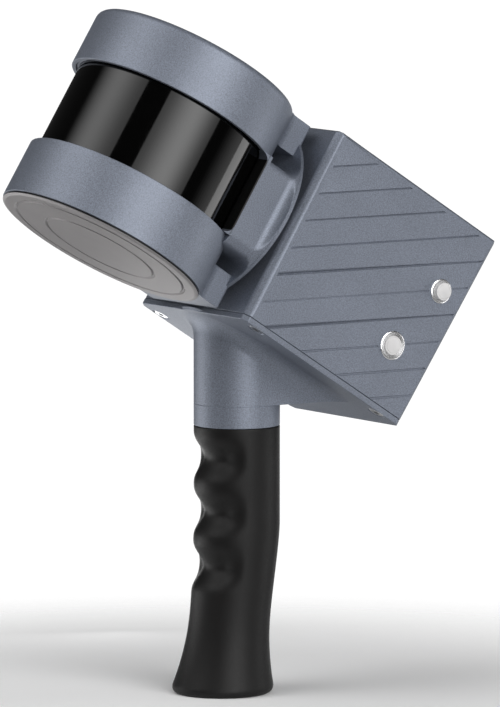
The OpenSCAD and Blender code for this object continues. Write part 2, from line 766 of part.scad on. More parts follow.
module lower_ring() color(BODY) tilted() difference() {
    union() {
        spin(0) rotate_extrude() polygon([[0, ring_z0], [ring_r - 0.3, ring_z0],
            [ring_r, ring_z0 + 0.3], [ring_r, lower_ring_h], [0, lower_ring_h]]);
        tail(tail_edge);
    }
    spin(-1) cylinder(r = disc_r + 0.5, h = ledge_z + 1);
    spin(0) cylinder(r = ledge_r, h = lower_ring_h + 1);
    spin(ledge_z + ledge_t) cylinder(r = ring_bore, h = lower_ring_h);
    back_plate_room();
    tail_screw_places() screw_room(3, 1.5, tail_screw_r, tail_screw_len);
}

module upper_cap() color(BODY) tilted() difference() {
    union() {
        spin(window_z1) rotate_extrude() {
            square([ring_r, upper_cap_h - cap_round]);
            square([ring_r - cap_round, upper_cap_h]);
            translate([ring_r - cap_round, upper_cap_h - cap_round]) circle(r = cap_round);
        }
        tail(head_h - tail_edge - tail_h);
    }
    spin(window_z1 - 1) cylinder(r = ring_bore, h = lidar_top_z + seam - window_z1 + 1);
    spin(window_z1) cylinder(r = ledge_r, h = upper_cap_h - cap_top);
    back_plate_room();
    tail_screw_places() screw_room(3, 1.5, tail_screw_r, tail_screw_len);
}

// Round back plate with the two cheeks that close the head behind the window
module rear_housing() color(BODY) tilted() difference() {
    union() {
        pan(back_y - back_t) cylinder(r = back_r, h = back_t);
        translate([-cheek_x, cheek_y, cheek_z0])
            cube([2 * cheek_x, back_y - back_t / 2 - cheek_y, cheek_z1 - cheek_z0]);
    }
    spin(-1) cylinder(r = ring_r + seam, h = window_z0 + 1 + seam);
    spin(window_z1 - seam) cylinder(r = ring_r + seam, h = head_h);
    spin(0) cylinder(r = window_r + 0.6, h = head_h);
    pan(hub_y) cylinder(r = hub_flange_r + seam, h = 20);
    pan(hub_y - 20) cylinder(r = shaft_bore, h = 30);
    pan(hub_y) around(4, 12.5, 45) translate([0, 0, -8]) cylinder(r = 1.25 + fit, h = 10);
    tail_screw_places() screw_room(3, 1.5, tail_screw_r, tail_screw_len);
}

module tail_screws() color(STEEL) tilted() tail_screw_places()
    screw(3, 1.5, tail_screw_r, tail_screw_len);

// Cover of the head's underside, with two decorative rings cut in it
module end_disc() color(DISC) tilted() spin(0) difference() {
    rotate_extrude() polygon([[0, 0], [disc_rim_r - 0.8, 0], [disc_rim_r, 0.6],
        [disc_rim_r, disc_rim_t], [disc_r, disc_rim_t], [disc_r, disc_t], [0, disc_t]]);
    for (r = [29.5, 46]) translate([0, 0, -0.2]) tube(r + 0.7, r - 0.7, 1);
}

module end_disc_seal() color(BLACK) tilted() spin(disc_t)
    tube(disc_r - 0.2, ledge_r + 0.5, ledge_z - disc_t);

// Black linings of the cheeks' front faces, beside the window
module side_liners() color(BLACK) tilted() difference() {
    for (side = [-1, 1]) translate([side * (cheek_x + 31) / 2, cheek_y - liner_t / 2,
        (window_z0 + window_z1) / 2]) cube([cheek_x - 31, liner_t, window_h - 2 * seam], true);
    spin(0) cylinder(r = window_r + 0.6, h = head_h);
}

module ir_window() color(BLACK) tilted() spin(glass_z0)
    tube(window_r, window_r - window_t, glass_z1 - glass_z0);

module window_seals() color(RUBBER) tilted() for (z = [glass_z0 - seal_h, glass_z1])
    spin(z) tube(base_r, window_r - window_t, seal_h);

// ---- pan drive, turning side --------------------------------------------------------

module pan_shaft() color(STEEL) tilted() difference() {
    union() {
        pan(hub_y) cylinder(r = hub_flange_r, h = hub_flange_t);
        pan(hub_y) cylinder(r = bearing_bore_r - fit, h = shaft_end - hub_y);
    }
    pan(hub_y - 1) cylinder(r = shaft_bore, h = shaft_end - hub_y + 2);
    pan(hub_y + hub_flange_t) around(4, 12.5, 45) screw_room(2.4, 1.4, 1.25, 6);
}

module hub_screws() color(STEEL) tilted() pan(hub_y + hub_flange_t)
    around(4, 12.5, 45) screw(2.4, 1.4, 1.25, 6);

module motor_rotor() color(BODY_DARK) tilted() pan(motor_y)
    tube(coil_in_r - run, bearing_bore_r, motor_len);

module bearing_inner_races() color(STEEL) tilted() at_bearings()
    tube(bearing_bore_r + race_t, bearing_bore_r, bearing_w);

module shaft_nut() color(STEEL) tilted() pan(drive_len + run) tube(nut_r, bearing_bore_r, nut_t);

module encoder_disc() color(CHROME) tilted() pan(encoder_y)
    tube(encoder_r, bearing_bore_r, encoder_t);

module slip_ring_rotor() color(BRASS) tilted() pan(shaft_end - 12)
    cylinder(r = slip_rod_r, h = slip_y + slip_len - 4 - shaft_end + 12);

// ---- lidar --------------------------------------------------------------------------

module lidar_base() color(BODY_DARK) tilted() spin(lidar_z0) {
    tube(base_r, base_r - base_wall, glass_z0 - seal_h - lidar_z0);
    tube(base_r, axle_r + fit, floor_t);
    tube(hub_r, axle_r + fit, turret_z0 - 1.5 - lidar_z0);
    around(3, 30) cylinder(r = 3, h = floor_t + 1);
}

module lidar_board() color(BOARD) tilted() spin(lidar_z0 + floor_t + 1)
    tube(lidar_board_r, hub_r + seam, pcb);

module lidar_axle() color(STEEL) tilted() spin(lidar_z0 + 1)
    cylinder(r = axle_r, h = lidar_top_z - 5 - lidar_z0);

module lidar_top() color(BODY_DARK) tilted() difference() {
    spin(glass_z1 + seal_h) cylinder(r = base_r, h = lidar_top_z - glass_z1 - seal_h);
    spin(glass_z1) difference() {
        cylinder(r = base_r - base_wall, h = lidar_top_z - glass_z1 - floor_t);
        cylinder(r = hub_r, h = lidar_top_z);
    }
    spin(glass_z1) cylinder(r = axle_r + fit, h = lidar_top_z - 3.9 - glass_z1);
}

// Spinning turret with its bearings, its motor's magnets and its board
module lidar_turret() color(CHIP) tilted() difference() {
    union() {
        intersection() {
            spin(turret_z0) cylinder(r = turret_r, h = turret_z1 - turret_z0);
            translate([-turret_r, lidar_y - turret_front, 0])
                cube([2 * turret_r, 3 * turret_r, head_h]);
        }
        spin(turret_z0 - magnet_h) tube(magnet_r, coil_r + run, magnet_h + 1);
        spin(turret_z1 - 1) cylinder(r = turret_front - 4, h = pcb + 1);
    }
    spin(turret_z0) cylinder(r = axle_r + slide, h = window_h);
    for (x = [-1, 1]) translate([x * lens_x, lidar_y - turret_front - 1,
        (turret_z0 + turret_z1) / 2]) rotate([-90, 0, 0]) {
        cylinder(r = lens_r + seam, h = lens_t + 1);
        cylinder(r = lens_r - 1.5, h = 16);
    }
}

module lidar_lenses() color(CHROME) tilted() for (x = [-1, 1])
    translate([x * lens_x, lidar_y - turret_front, (turret_z0 + turret_z1) / 2])
        rotate([-90, 0, 0]) cylinder(r = lens_r, h = lens_t);

housing_shell();
neck_casting();
bottom_gasket();
bottom_screws();
neck_collar();
handle_core();
handle_bolt();
rubber_grip();
base_cap();
base_cap_screws();
tripod_insert();
drive_housing();
drive_flange_screws();
drive_end_cover();
end_cover_screws();
motor_stator();
bearing_outer_races();
bearing_balls();
encoder_cover();
encoder_board();
slip_ring_stator();
main_board();
board_standoffs();
board_screws();
processor_module();
heat_spreader();
storage_module();
imu_module();
imu_screws();
battery_cells();
battery_holder();
power_board();
charge_port();
power_button_bezel();
record_button_bezel();
button_nuts();
rear_housing();
lower_ring();
upper_cap();
tail_screws();
end_disc();
end_disc_seal();
side_liners();
ir_window();
window_seals();
pan_shaft();
hub_screws();
motor_rotor();
bearing_inner_races();
shaft_nut();
encoder_disc();
slip_ring_rotor();
lidar_base();
lidar_board();
lidar_axle();
lidar_top();
lidar_turret();
lidar_lenses();
power_button_cap();
record_button_cap();
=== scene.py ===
"""Handheld laser scanner: its detailed pieces, finishes, lights and camera.

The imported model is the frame. Lengths are millimetres in the maker's own frames, and each
piece is placed in the row frame, in metres, as it is finished.
"""

import json
import logging
import math
from dataclasses import dataclass, field
from enum import Enum
from typing import Any, Callable, Optional, Sequence

import bmesh
import bpy
from mathutils import Matrix, Vector


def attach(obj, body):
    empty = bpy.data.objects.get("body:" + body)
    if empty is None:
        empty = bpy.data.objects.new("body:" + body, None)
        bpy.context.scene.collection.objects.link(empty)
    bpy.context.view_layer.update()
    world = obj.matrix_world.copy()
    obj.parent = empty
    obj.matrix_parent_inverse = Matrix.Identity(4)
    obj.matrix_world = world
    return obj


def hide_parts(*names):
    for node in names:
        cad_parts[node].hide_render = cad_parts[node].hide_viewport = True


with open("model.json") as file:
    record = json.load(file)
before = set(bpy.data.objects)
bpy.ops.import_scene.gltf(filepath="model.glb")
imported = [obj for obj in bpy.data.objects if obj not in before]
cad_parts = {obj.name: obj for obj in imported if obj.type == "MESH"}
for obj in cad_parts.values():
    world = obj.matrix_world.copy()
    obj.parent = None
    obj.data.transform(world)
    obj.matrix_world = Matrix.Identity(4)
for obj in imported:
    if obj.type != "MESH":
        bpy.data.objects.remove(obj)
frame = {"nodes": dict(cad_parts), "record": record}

LOG = logging.getLogger("scanner")
MM = 0.001
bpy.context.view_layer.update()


# ---- frames ---------------------------------------------------------------------------


@dataclass(frozen=True)
class Frames:
    """Where the scanner's parts stand. Each method gives a matrix from a part's millimetres."""

    tilt: float = 32.5
    box_y: float = -18.4
    box_z: float = 192.4
    pan_z: float = 53.4
    lidar_y: float = -63.4
    half_w: float = 47.5

    def row(self) -> Matrix:
        """The grip's frame, at the centre of its base."""
        return Matrix.Scale(MM, 4)

    def tilted(self) -> Matrix:
        """The box's frame: Y runs back along the bottom plate, Z up the front face."""
        return (
            self.row()
            @ Matrix.Translation((0, self.box_y, self.box_z))
            @ Matrix.Rotation(-math.radians(self.tilt), 4, "X")
        )

    def pan(self, y: float = 0) -> Matrix:
        """Along the pan axis, Z pointing back from y."""
        turn = Matrix.Rotation(-math.pi / 2, 4, "X")
        return self.tilted() @ Matrix.Translation((0, y, self.pan_z)) @ turn

    def spin(self, z: float = 0) -> Matrix:
        """Along the lidar's spin axis, from z."""
        return self.tilted() @ Matrix.Translation((0, self.lidar_y, z))

    def side(self, y: float, z: float) -> Matrix:
        """On the box's face with the buttons, Z pointing out of it."""
        turn = Matrix.Rotation(math.pi / 2, 4, "Y")
        return self.tilted() @ Matrix.Translation((self.half_w, y, z)) @ turn


AT = Frames()


class Slot(Enum):
    """The record's material slots."""

    BODY = "body_paint"
    DARK_METAL = "dark_metal"
    DISC = "disc_paint"
    PLASTIC = "black_plastic"
    WINDOW = "window_black"
    RUBBER = "rubber_black"
    STEEL = "steel"
    CHROME = "chrome"
    BRASS = "brass"
    COPPER = "copper_coil"
    BOARD = "circuit_board"
    CHIP = "chip_black"
    CELL = "cell_wrap"
    CAP = "cap_grey"
    LENS = "lens_glass"


class Body(Enum):
    """The bodies that pieces ride on."""

    HANDHELD = "handheld_body"
    HEAD = "scan_head"
    POWER = "power_cap"
    RECORD = "record_cap"


# ---- finishes -------------------------------------------------------------------------


def linear(colour: str) -> tuple[float, float, float, float]:
    """Turn an sRGB hex colour to linear.

    Args:
        colour: the colour as "#rrggbb".
    Returns:
        Red, green, blue and alpha, linear.
    """
    parts = [int(colour[i : i + 2], 16) / 255 for i in (1, 3, 5)]
    r, g, b = (c / 12.92 if c <= 0.04045 else ((c + 0.055) / 1.055) ** 2.4 for c in parts)
    return (r, g, b, 1.0)


def feed(tree: bpy.types.NodeTree, node: bpy.types.Node, inputs: dict[Any, Any]) -> None:
    """Set or link some of a node's inputs.

    Args:
        tree: the node's tree.
        node: the node.
        inputs: for each input's name or number, a value or the output that feeds it.
    """
    for key, value in inputs.items():
        if isinstance(value, bpy.types.NodeSocket):
            tree.links.new(value, node.inputs[key])
        else:
            node.inputs[key].default_value = value


def add(
    tree: bpy.types.NodeTree, kind: str, inputs: Optional[dict[Any, Any]] = None, **settings: Any
) -> bpy.types.Node:
    """Add one node with its settings, values and links.

    Args:
        tree: the node tree that it goes in.
        kind: the node's type.
        inputs: for each input's name or number, a value or the output that feeds it.
        settings: the node's own properties.
    Returns:
        The node.
    """
    made = tree.nodes.new(kind)
    for name, value in settings.items():
        setattr(made, name, value)
    feed(tree, made, inputs or {})
    return made


def fresh_tree(owner: Any) -> bpy.types.NodeTree:
    """Give a material or a world an empty node tree."""
    owner.use_nodes = True
    owner.node_tree.nodes.clear()
    return owner.node_tree


def stood(name: str, data: Any) -> bpy.types.Object:
    """Make an object of some data and put it in the scene."""
    made = bpy.data.objects.new(name, data)
    bpy.context.scene.collection.objects.link(made)
    return made


def per_mm(size: float) -> float:
    """Texture scale whose features are about size millimetres across."""
    return 1 / (size * MM)


def shades(tree: bpy.types.NodeTree, factor: Any, low: Any, high: Any) -> bpy.types.NodeSocket:
    """Mix two linear colours by a factor and return the result's output."""
    mix = add(tree, "ShaderNodeMix", {0: factor, 6: low, 7: high}, data_type="RGBA")
    return mix.outputs[2]


def tint(colour: str, share: float) -> tuple[float, float, float, float]:
    """A hex colour in linear light, made lighter or darker by a share of itself."""
    r, g, b, a = linear(colour)
    return (r * (1 + share), g * (1 + share), b * (1 + share), a)


@dataclass(frozen=True)
class Sheet:
    """A material's nodes, while its finish is drawn on them."""

    tree: bpy.types.NodeTree
    shader: bpy.types.Node
    place: bpy.types.NodeSocket

    def noise(
        self, size: float, detail: float = 2, place: Optional[bpy.types.NodeSocket] = None
    ) -> bpy.types.NodeSocket:
        """Noise whose features are about size millimetres across."""
        inputs = {"Vector": place or self.place, "Scale": per_mm(size), "Detail": detail}
        return add(self.tree, "ShaderNodeTexNoise", {**inputs, "Roughness": 0.6}).outputs["Fac"]

    def lay(self, **turns: tuple[float, float, float]) -> bpy.types.NodeSocket:
        """The place on the object, stretched by Scale or turned by Rotation."""
        return add(self.tree, "ShaderNodeMapping", {"Vector": self.place, **turns}).outputs[0]

    def spread(
        self, factor: bpy.types.NodeSocket, low: float, high: float
    ) -> bpy.types.NodeSocket:
        """Spread noise of about 0.3 to 0.7 over low to high."""
        inputs = {"Value": factor, 1: 0.3, 2: 0.7, 3: low, 4: high}
        return add(self.tree, "ShaderNodeMapRange", inputs).outputs["Result"]

    def mottle(
        self, factor: bpy.types.NodeSocket, colour: str, low: float, high: float
    ) -> bpy.types.NodeSocket:
        """A colour that noise makes lighter or darker, between two shares of itself."""
        even = self.spread(factor, 0, 1)
        return shades(self.tree, even, tint(colour, low), tint(colour, high))

    def feed(self, inputs: dict[str, Any]) -> None:
        """Set or link the shader's inputs."""
        feed(self.tree, self.shader, inputs)

    def relief(self, height: bpy.types.NodeSocket, depth: float, strength: float) -> None:
        """Give the surface a relief of depth millimetres."""
        inputs = {"Height": height, "Distance": depth * MM, "Strength": strength}
        self.feed({"Normal": add(self.tree, "ShaderNodeBump", inputs).outputs["Normal"]})


@dataclass(frozen=True)
class Finish:
    """What a surface is made of and how it was made."""

    name: str
    colour: str
    roughness: float = 0.5

    def material(self) -> bpy.types.Material:
        """Make the material once, and return it from then on."""
        found = bpy.data.materials.get(self.name)
        if found is not None:
            return found
        made = bpy.data.materials.new(self.name)
        tree = fresh_tree(made)
        shader = add(tree, "ShaderNodeBsdfPrincipled", {"Base Color": linear(self.colour)})
        add(tree, "ShaderNodeOutputMaterial", {"Surface": shader.outputs[0]})
        place = add(tree, "ShaderNodeTexCoord").outputs["Object"]
        self.surface(Sheet(tree, shader, place))
        return made

    def surface(self, sheet: Sheet) -> None:
        """Draw the finish on its sheet of nodes. Each finish has its own way."""
        raise NotImplementedError

    def gloss(
        self, sheet: Sheet, factor: bpy.types.NodeSocket, less: float, more: float
    ) -> bpy.types.NodeSocket:
        """The roughness, varied by noise between less and more than the finish's own."""
        return sheet.spread(factor, self.roughness - less, self.roughness + more)


@dataclass(frozen=True)
class BlastedAluminium(Finish):
    """Aluminium, machined, blasted with fine glass beads and dye anodised.

    The eye sees an even satin sheen with a fine sparkle of grains. Real bead marks are about
    0.1 mm, too fine to show, so they are drawn several times coarser.
    """

    grain: float = 0.6
    sparkle: float = 0.3
    cloud: float = 0.04
    metallic: float = 0.5

    def surface(self, sheet: Sheet) -> None:
        """Grain in colour, gloss and relief, over a faint unevenness of the dye."""
        grain = sheet.noise(self.grain, 3)
        cloud = sheet.spread(sheet.noise(28), 1 - self.cloud, 1 + self.cloud)
        fine = sheet.mottle(grain, self.colour, -self.sparkle, self.sparkle)
        veil = add(sheet.tree, "ShaderNodeHueSaturation", {"Value": cloud, "Color": fine})
        gloss = self.gloss(sheet, grain, 0.05, 0.05)
        sheet.feed({"Base Color": veil.outputs[0], "Roughness": gloss})
        sheet.feed({"Metallic": self.metallic})
        sheet.relief(grain, 0.03, 0.6)


@dataclass(frozen=True)
class MouldedRubber(Finish):
    """Soft-touch rubber, moulded over the core in a spark-eroded mould.

    The eye sees near-black with a dull sheen, a fine pebble, and faint paler handling marks.
    """

    pebble: float = 0.7

    def surface(self, sheet: Sheet) -> None:
        """Pebble in relief and gloss, with faint clouds of bloom in the colour."""
        pebble = sheet.noise(self.pebble, 3)
        base = sheet.mottle(sheet.noise(22, 4), self.colour, -0.15, 0.35)
        sheet.feed({"Base Color": base, "Roughness": self.gloss(sheet, pebble, 0.07, 0.07)})
        sheet.feed({"IOR": 1.5, "Specular IOR Level": 0.27})
        sheet.relief(pebble, 0.06, 0.45)


@dataclass(frozen=True)
class PolishedWindow(Finish):
    """Infrared-pass polycarbonate, moulded and polished, black to the eye.

    The eye sees deep black gloss that mirrors the lights, with the slightest haze of dust.
    """

    def surface(self, sheet: Sheet) -> None:
        """A faint haze in the gloss, and a trace of flow waves."""
        haze = sheet.noise(6, 4)
        base = sheet.mottle(haze, self.colour, 0, 0.6)
        sheet.feed({"Base Color": base, "Roughness": self.gloss(sheet, haze, 0.012, 0.03)})
        sheet.feed({"IOR": 1.49})
        sheet.relief(sheet.noise(30, 1), 0.02, 0.05)


@dataclass(frozen=True)
class MouldedPlastic(Finish):
    """Glass-filled nylon or ABS, injection moulded with a fine spark texture.

    The eye sees a dull even face with small bright points where grains catch light.
    """

    texture: float = 0.6

    def surface(self, sheet: Sheet) -> None:
        """Texture in relief and gloss, and slight flow shading in the colour."""
        grain = sheet.noise(self.texture, 3)
        base = sheet.mottle(sheet.noise(15), self.colour, -0.12, 0.2)
        sheet.feed({"Base Color": base, "Roughness": self.gloss(sheet, grain, 0.06, 0.06)})
        sheet.feed({"IOR": 1.53})
        sheet.relief(grain, 0.03, 0.3)


@dataclass(frozen=True)
class TurnedMetal(Finish):
    """Steel or brass, turned or rolled, with the tool's fine marks left on it.

    The eye sees a bright metal with streaks along the cut and a few dull handling spots.
    """

    stretch: tuple[float, float, float] = (1, 1, 12)
    streak: float = 0.9

    def surface(self, sheet: Sheet) -> None:
        """Streaks in the gloss and relief, and dull spots in the colour."""
        streaks = sheet.noise(self.streak, 3, sheet.lay(Scale=self.stretch))
        base = sheet.mottle(sheet.noise(4, 3), self.colour, -0.12, 0.06)
        sheet.feed({"Base Color": base, "Roughness": self.gloss(sheet, streaks, 0.07, 0.08)})
        sheet.feed({"Metallic": 1.0})
        sheet.relief(streaks, 0.01, 0.25)


@dataclass(frozen=True)
class PolishedSteel(Finish):
    """Stainless steel, turned and buffed.

    The eye sees a mirror with hair-fine buffing lines, which show as a slight haze.
    """

    def surface(self, sheet: Sheet) -> None:
        """Buffing haze in the gloss, and a trace of blue in the colour."""
        lines = sheet.noise(0.5, 4)
        base = sheet.mottle(lines, self.colour, -0.05, 0)
        sheet.feed({"Base Color": base, "Roughness": self.gloss(sheet, lines, 0.03, 0.05)})
        sheet.feed({"Metallic": 1.0})


@dataclass(frozen=True)
class WoundCopper(Finish):
    """Enamelled copper wire, wound in neat turns.

    The eye sees fine parallel wires. Their colour is painted lighter on the crowns, a painted
    highlight, and darker between them, painted shade.
    """

    wire: float = 0.8

    def surface(self, sheet: Sheet) -> None:
        """Wires across the motor's axis in relief, with a painted highlight on their crowns and
        painted shade between them in the colour.
        """
        inputs = {
            "Vector": sheet.lay(Rotation=(math.radians(AT.tilt), 0, 0)),
            "Scale": per_mm(self.wire) / (2 * math.pi) * 0.31,
        }
        wave = add(sheet.tree, "ShaderNodeTexWave", inputs, bands_direction="X")
        wires = wave.outputs["Fac"]
        # painted shade between the wires and a painted highlight on their crowns, in the base colour
        base = shades(sheet.tree, wires, tint(self.colour, -0.6), tint(self.colour, 0.1))
        rough = sheet.spread(sheet.noise(2), self.roughness, 0.5)
        sheet.feed({"Base Color": base, "Roughness": rough, "Metallic": 0.9})
        sheet.relief(wires, 0.2, 0.5)


@dataclass(frozen=True)
class SolderMask(Finish):
    """Glass-epoxy board under green solder mask.

    The eye sees raised paler tracks under a glossy green film, and dark gaps between them.
    """

    pitch: float = 1.27

    def surface(self, sheet: Sheet) -> None:
        """Tracks in rows that follow the box, in colour and relief."""
        inputs = {
            "Vector": sheet.lay(Rotation=(math.radians(AT.tilt), 0, 0)),
            "Scale": 1.0,
            "Brick Width": 9 * MM,
            "Row Height": self.pitch * MM,
            "Mortar Size": 0.22 * MM,
            "Mortar Smooth": 0.3,
        }
        tracks = add(sheet.tree, "ShaderNodeTexBrick", inputs).outputs["Fac"]
        base = shades(sheet.tree, tracks, tint(self.colour, 0.25), tint(self.colour, -0.45))
        rough = sheet.spread(sheet.noise(3), self.roughness, 0.45)
        sheet.feed({"Base Color": base, "Roughness": rough, "Coat Weight": 0.4})
        sheet.relief(tracks, 0.05, 0.3)


@dataclass(frozen=True)
class ShrinkSleeve(Finish):
    """Thin PVC sleeve, shrunk on to a cell.

    The eye sees a glossy skin with shallow puckers.
    """

    def surface(self, sheet: Sheet) -> None:
        """Puckers in relief, and the colour thinner where the film stretched."""
        pucker = sheet.noise(5, 3)
        base = sheet.mottle(pucker, self.colour, -0.15, 0.15)
        sheet.feed({"Base Color": base, "Roughness": self.gloss(sheet, pucker, 0.05, 0.1)})
        sheet.relief(pucker, 0.15, 0.3)


@dataclass(frozen=True)
class CoatedLens(Finish):
    """Optical glass with an antireflection coat.

    The eye sees a dark pool with a violet gloss that turns greener at its edge.
    """

    edge: str = "#2c5a4a"

    def surface(self, sheet: Sheet) -> None:
        """The coat's violet gloss, greener at a slant, painted into the base colour by the viewing
        slant of the glass itself: a painted reflection.
        """
        slant = add(sheet.tree, "ShaderNodeLayerWeight", {"Blend": 0.4}).outputs["Facing"]
        # painted reflection: the coat's gloss colour is mixed into the base colour by how slanted
        # the glass is to the view
        base = shades(sheet.tree, slant, linear(self.colour), linear(self.edge))
        gloss = self.gloss(sheet, sheet.noise(1.5), 0, 0.04)
        sheet.feed({"Base Color": base, "Roughness": gloss, "IOR": 1.7, "Coat Weight": 1.0})


FINISHES: dict[Slot, Finish] = {
    Slot.BODY: BlastedAluminium("blue-grey anodised aluminium", "#797f8b", 0.5),
    Slot.DARK_METAL: BlastedAluminium("black anodised aluminium", "#3b3d42", 0.46),
    Slot.DISC: BlastedAluminium(
        "warm grey anodised aluminium", "#8a8788", 0.5, sparkle=0.08, metallic=0.35
    ),
    Slot.PLASTIC: MouldedPlastic("black moulded nylon", "#0b0b0c", 0.5),
    Slot.WINDOW: PolishedWindow("black infrared polycarbonate", "#010101", 0.06),
    Slot.RUBBER: MouldedRubber("black soft-touch rubber", "#0b0a0a", 0.5),
    Slot.STEEL: TurnedMetal("turned stainless steel", "#c9cacd", 0.27),
    Slot.CHROME: PolishedSteel("polished stainless steel", "#f2f2f3", 0.24),
    Slot.BRASS: TurnedMetal("machined brass", "#d2b070", 0.28),
    Slot.COPPER: WoundCopper("enamelled copper windings", "#c0744a", 0.3),
    Slot.BOARD: SolderMask("green solder mask", "#12603a", 0.3),
    Slot.CHIP: MouldedPlastic("black epoxy package", "#1b1b1d", 0.55, texture=0.35),
    Slot.CELL: ShrinkSleeve("blue shrink sleeve", "#2f5fa8", 0.28),
    Slot.CAP: MouldedPlastic("pale grey moulded cap", "#d2d1d1", 0.34, texture=0.4),
    Slot.LENS: CoatedLens("coated optical glass", "#1c1436", 0.03),
}


# ---- shaping --------------------------------------------------------------------------


class Join(Enum):
    """How one workpiece acts on another."""

    WELD = "UNION"
    CUT = "DIFFERENCE"


Point = tuple[float, float]


def drawn(
    bm: bmesh.types.BMesh, edges: list, place: Callable[[bmesh.types.BMVert], Sequence[float]]
) -> list:
    """Extrude an open ring of edges, and put each new corner where it belongs.

    Args:
        bm: the mesh.
        edges: the open ring.
        place: gives a new corner's place. The corner still stands on the old ring.
    Returns:
        The new ring's edges.
    """
    grown = bmesh.ops.extrude_edge_only(bm, edges=edges)["geom"]
    for vert in (v for v in grown if isinstance(v, bmesh.types.BMVert)):
        vert.co = place(vert)
    return [e for e in grown if isinstance(e, bmesh.types.BMEdge)]


def round_from(x: float, y: float, r: float, angle: float, z: float) -> Vector:
    """A point at a radius and an angle from the front, about an upright axis at x and y."""
    return Vector((x + r * math.sin(angle), y - r * math.cos(angle), z))


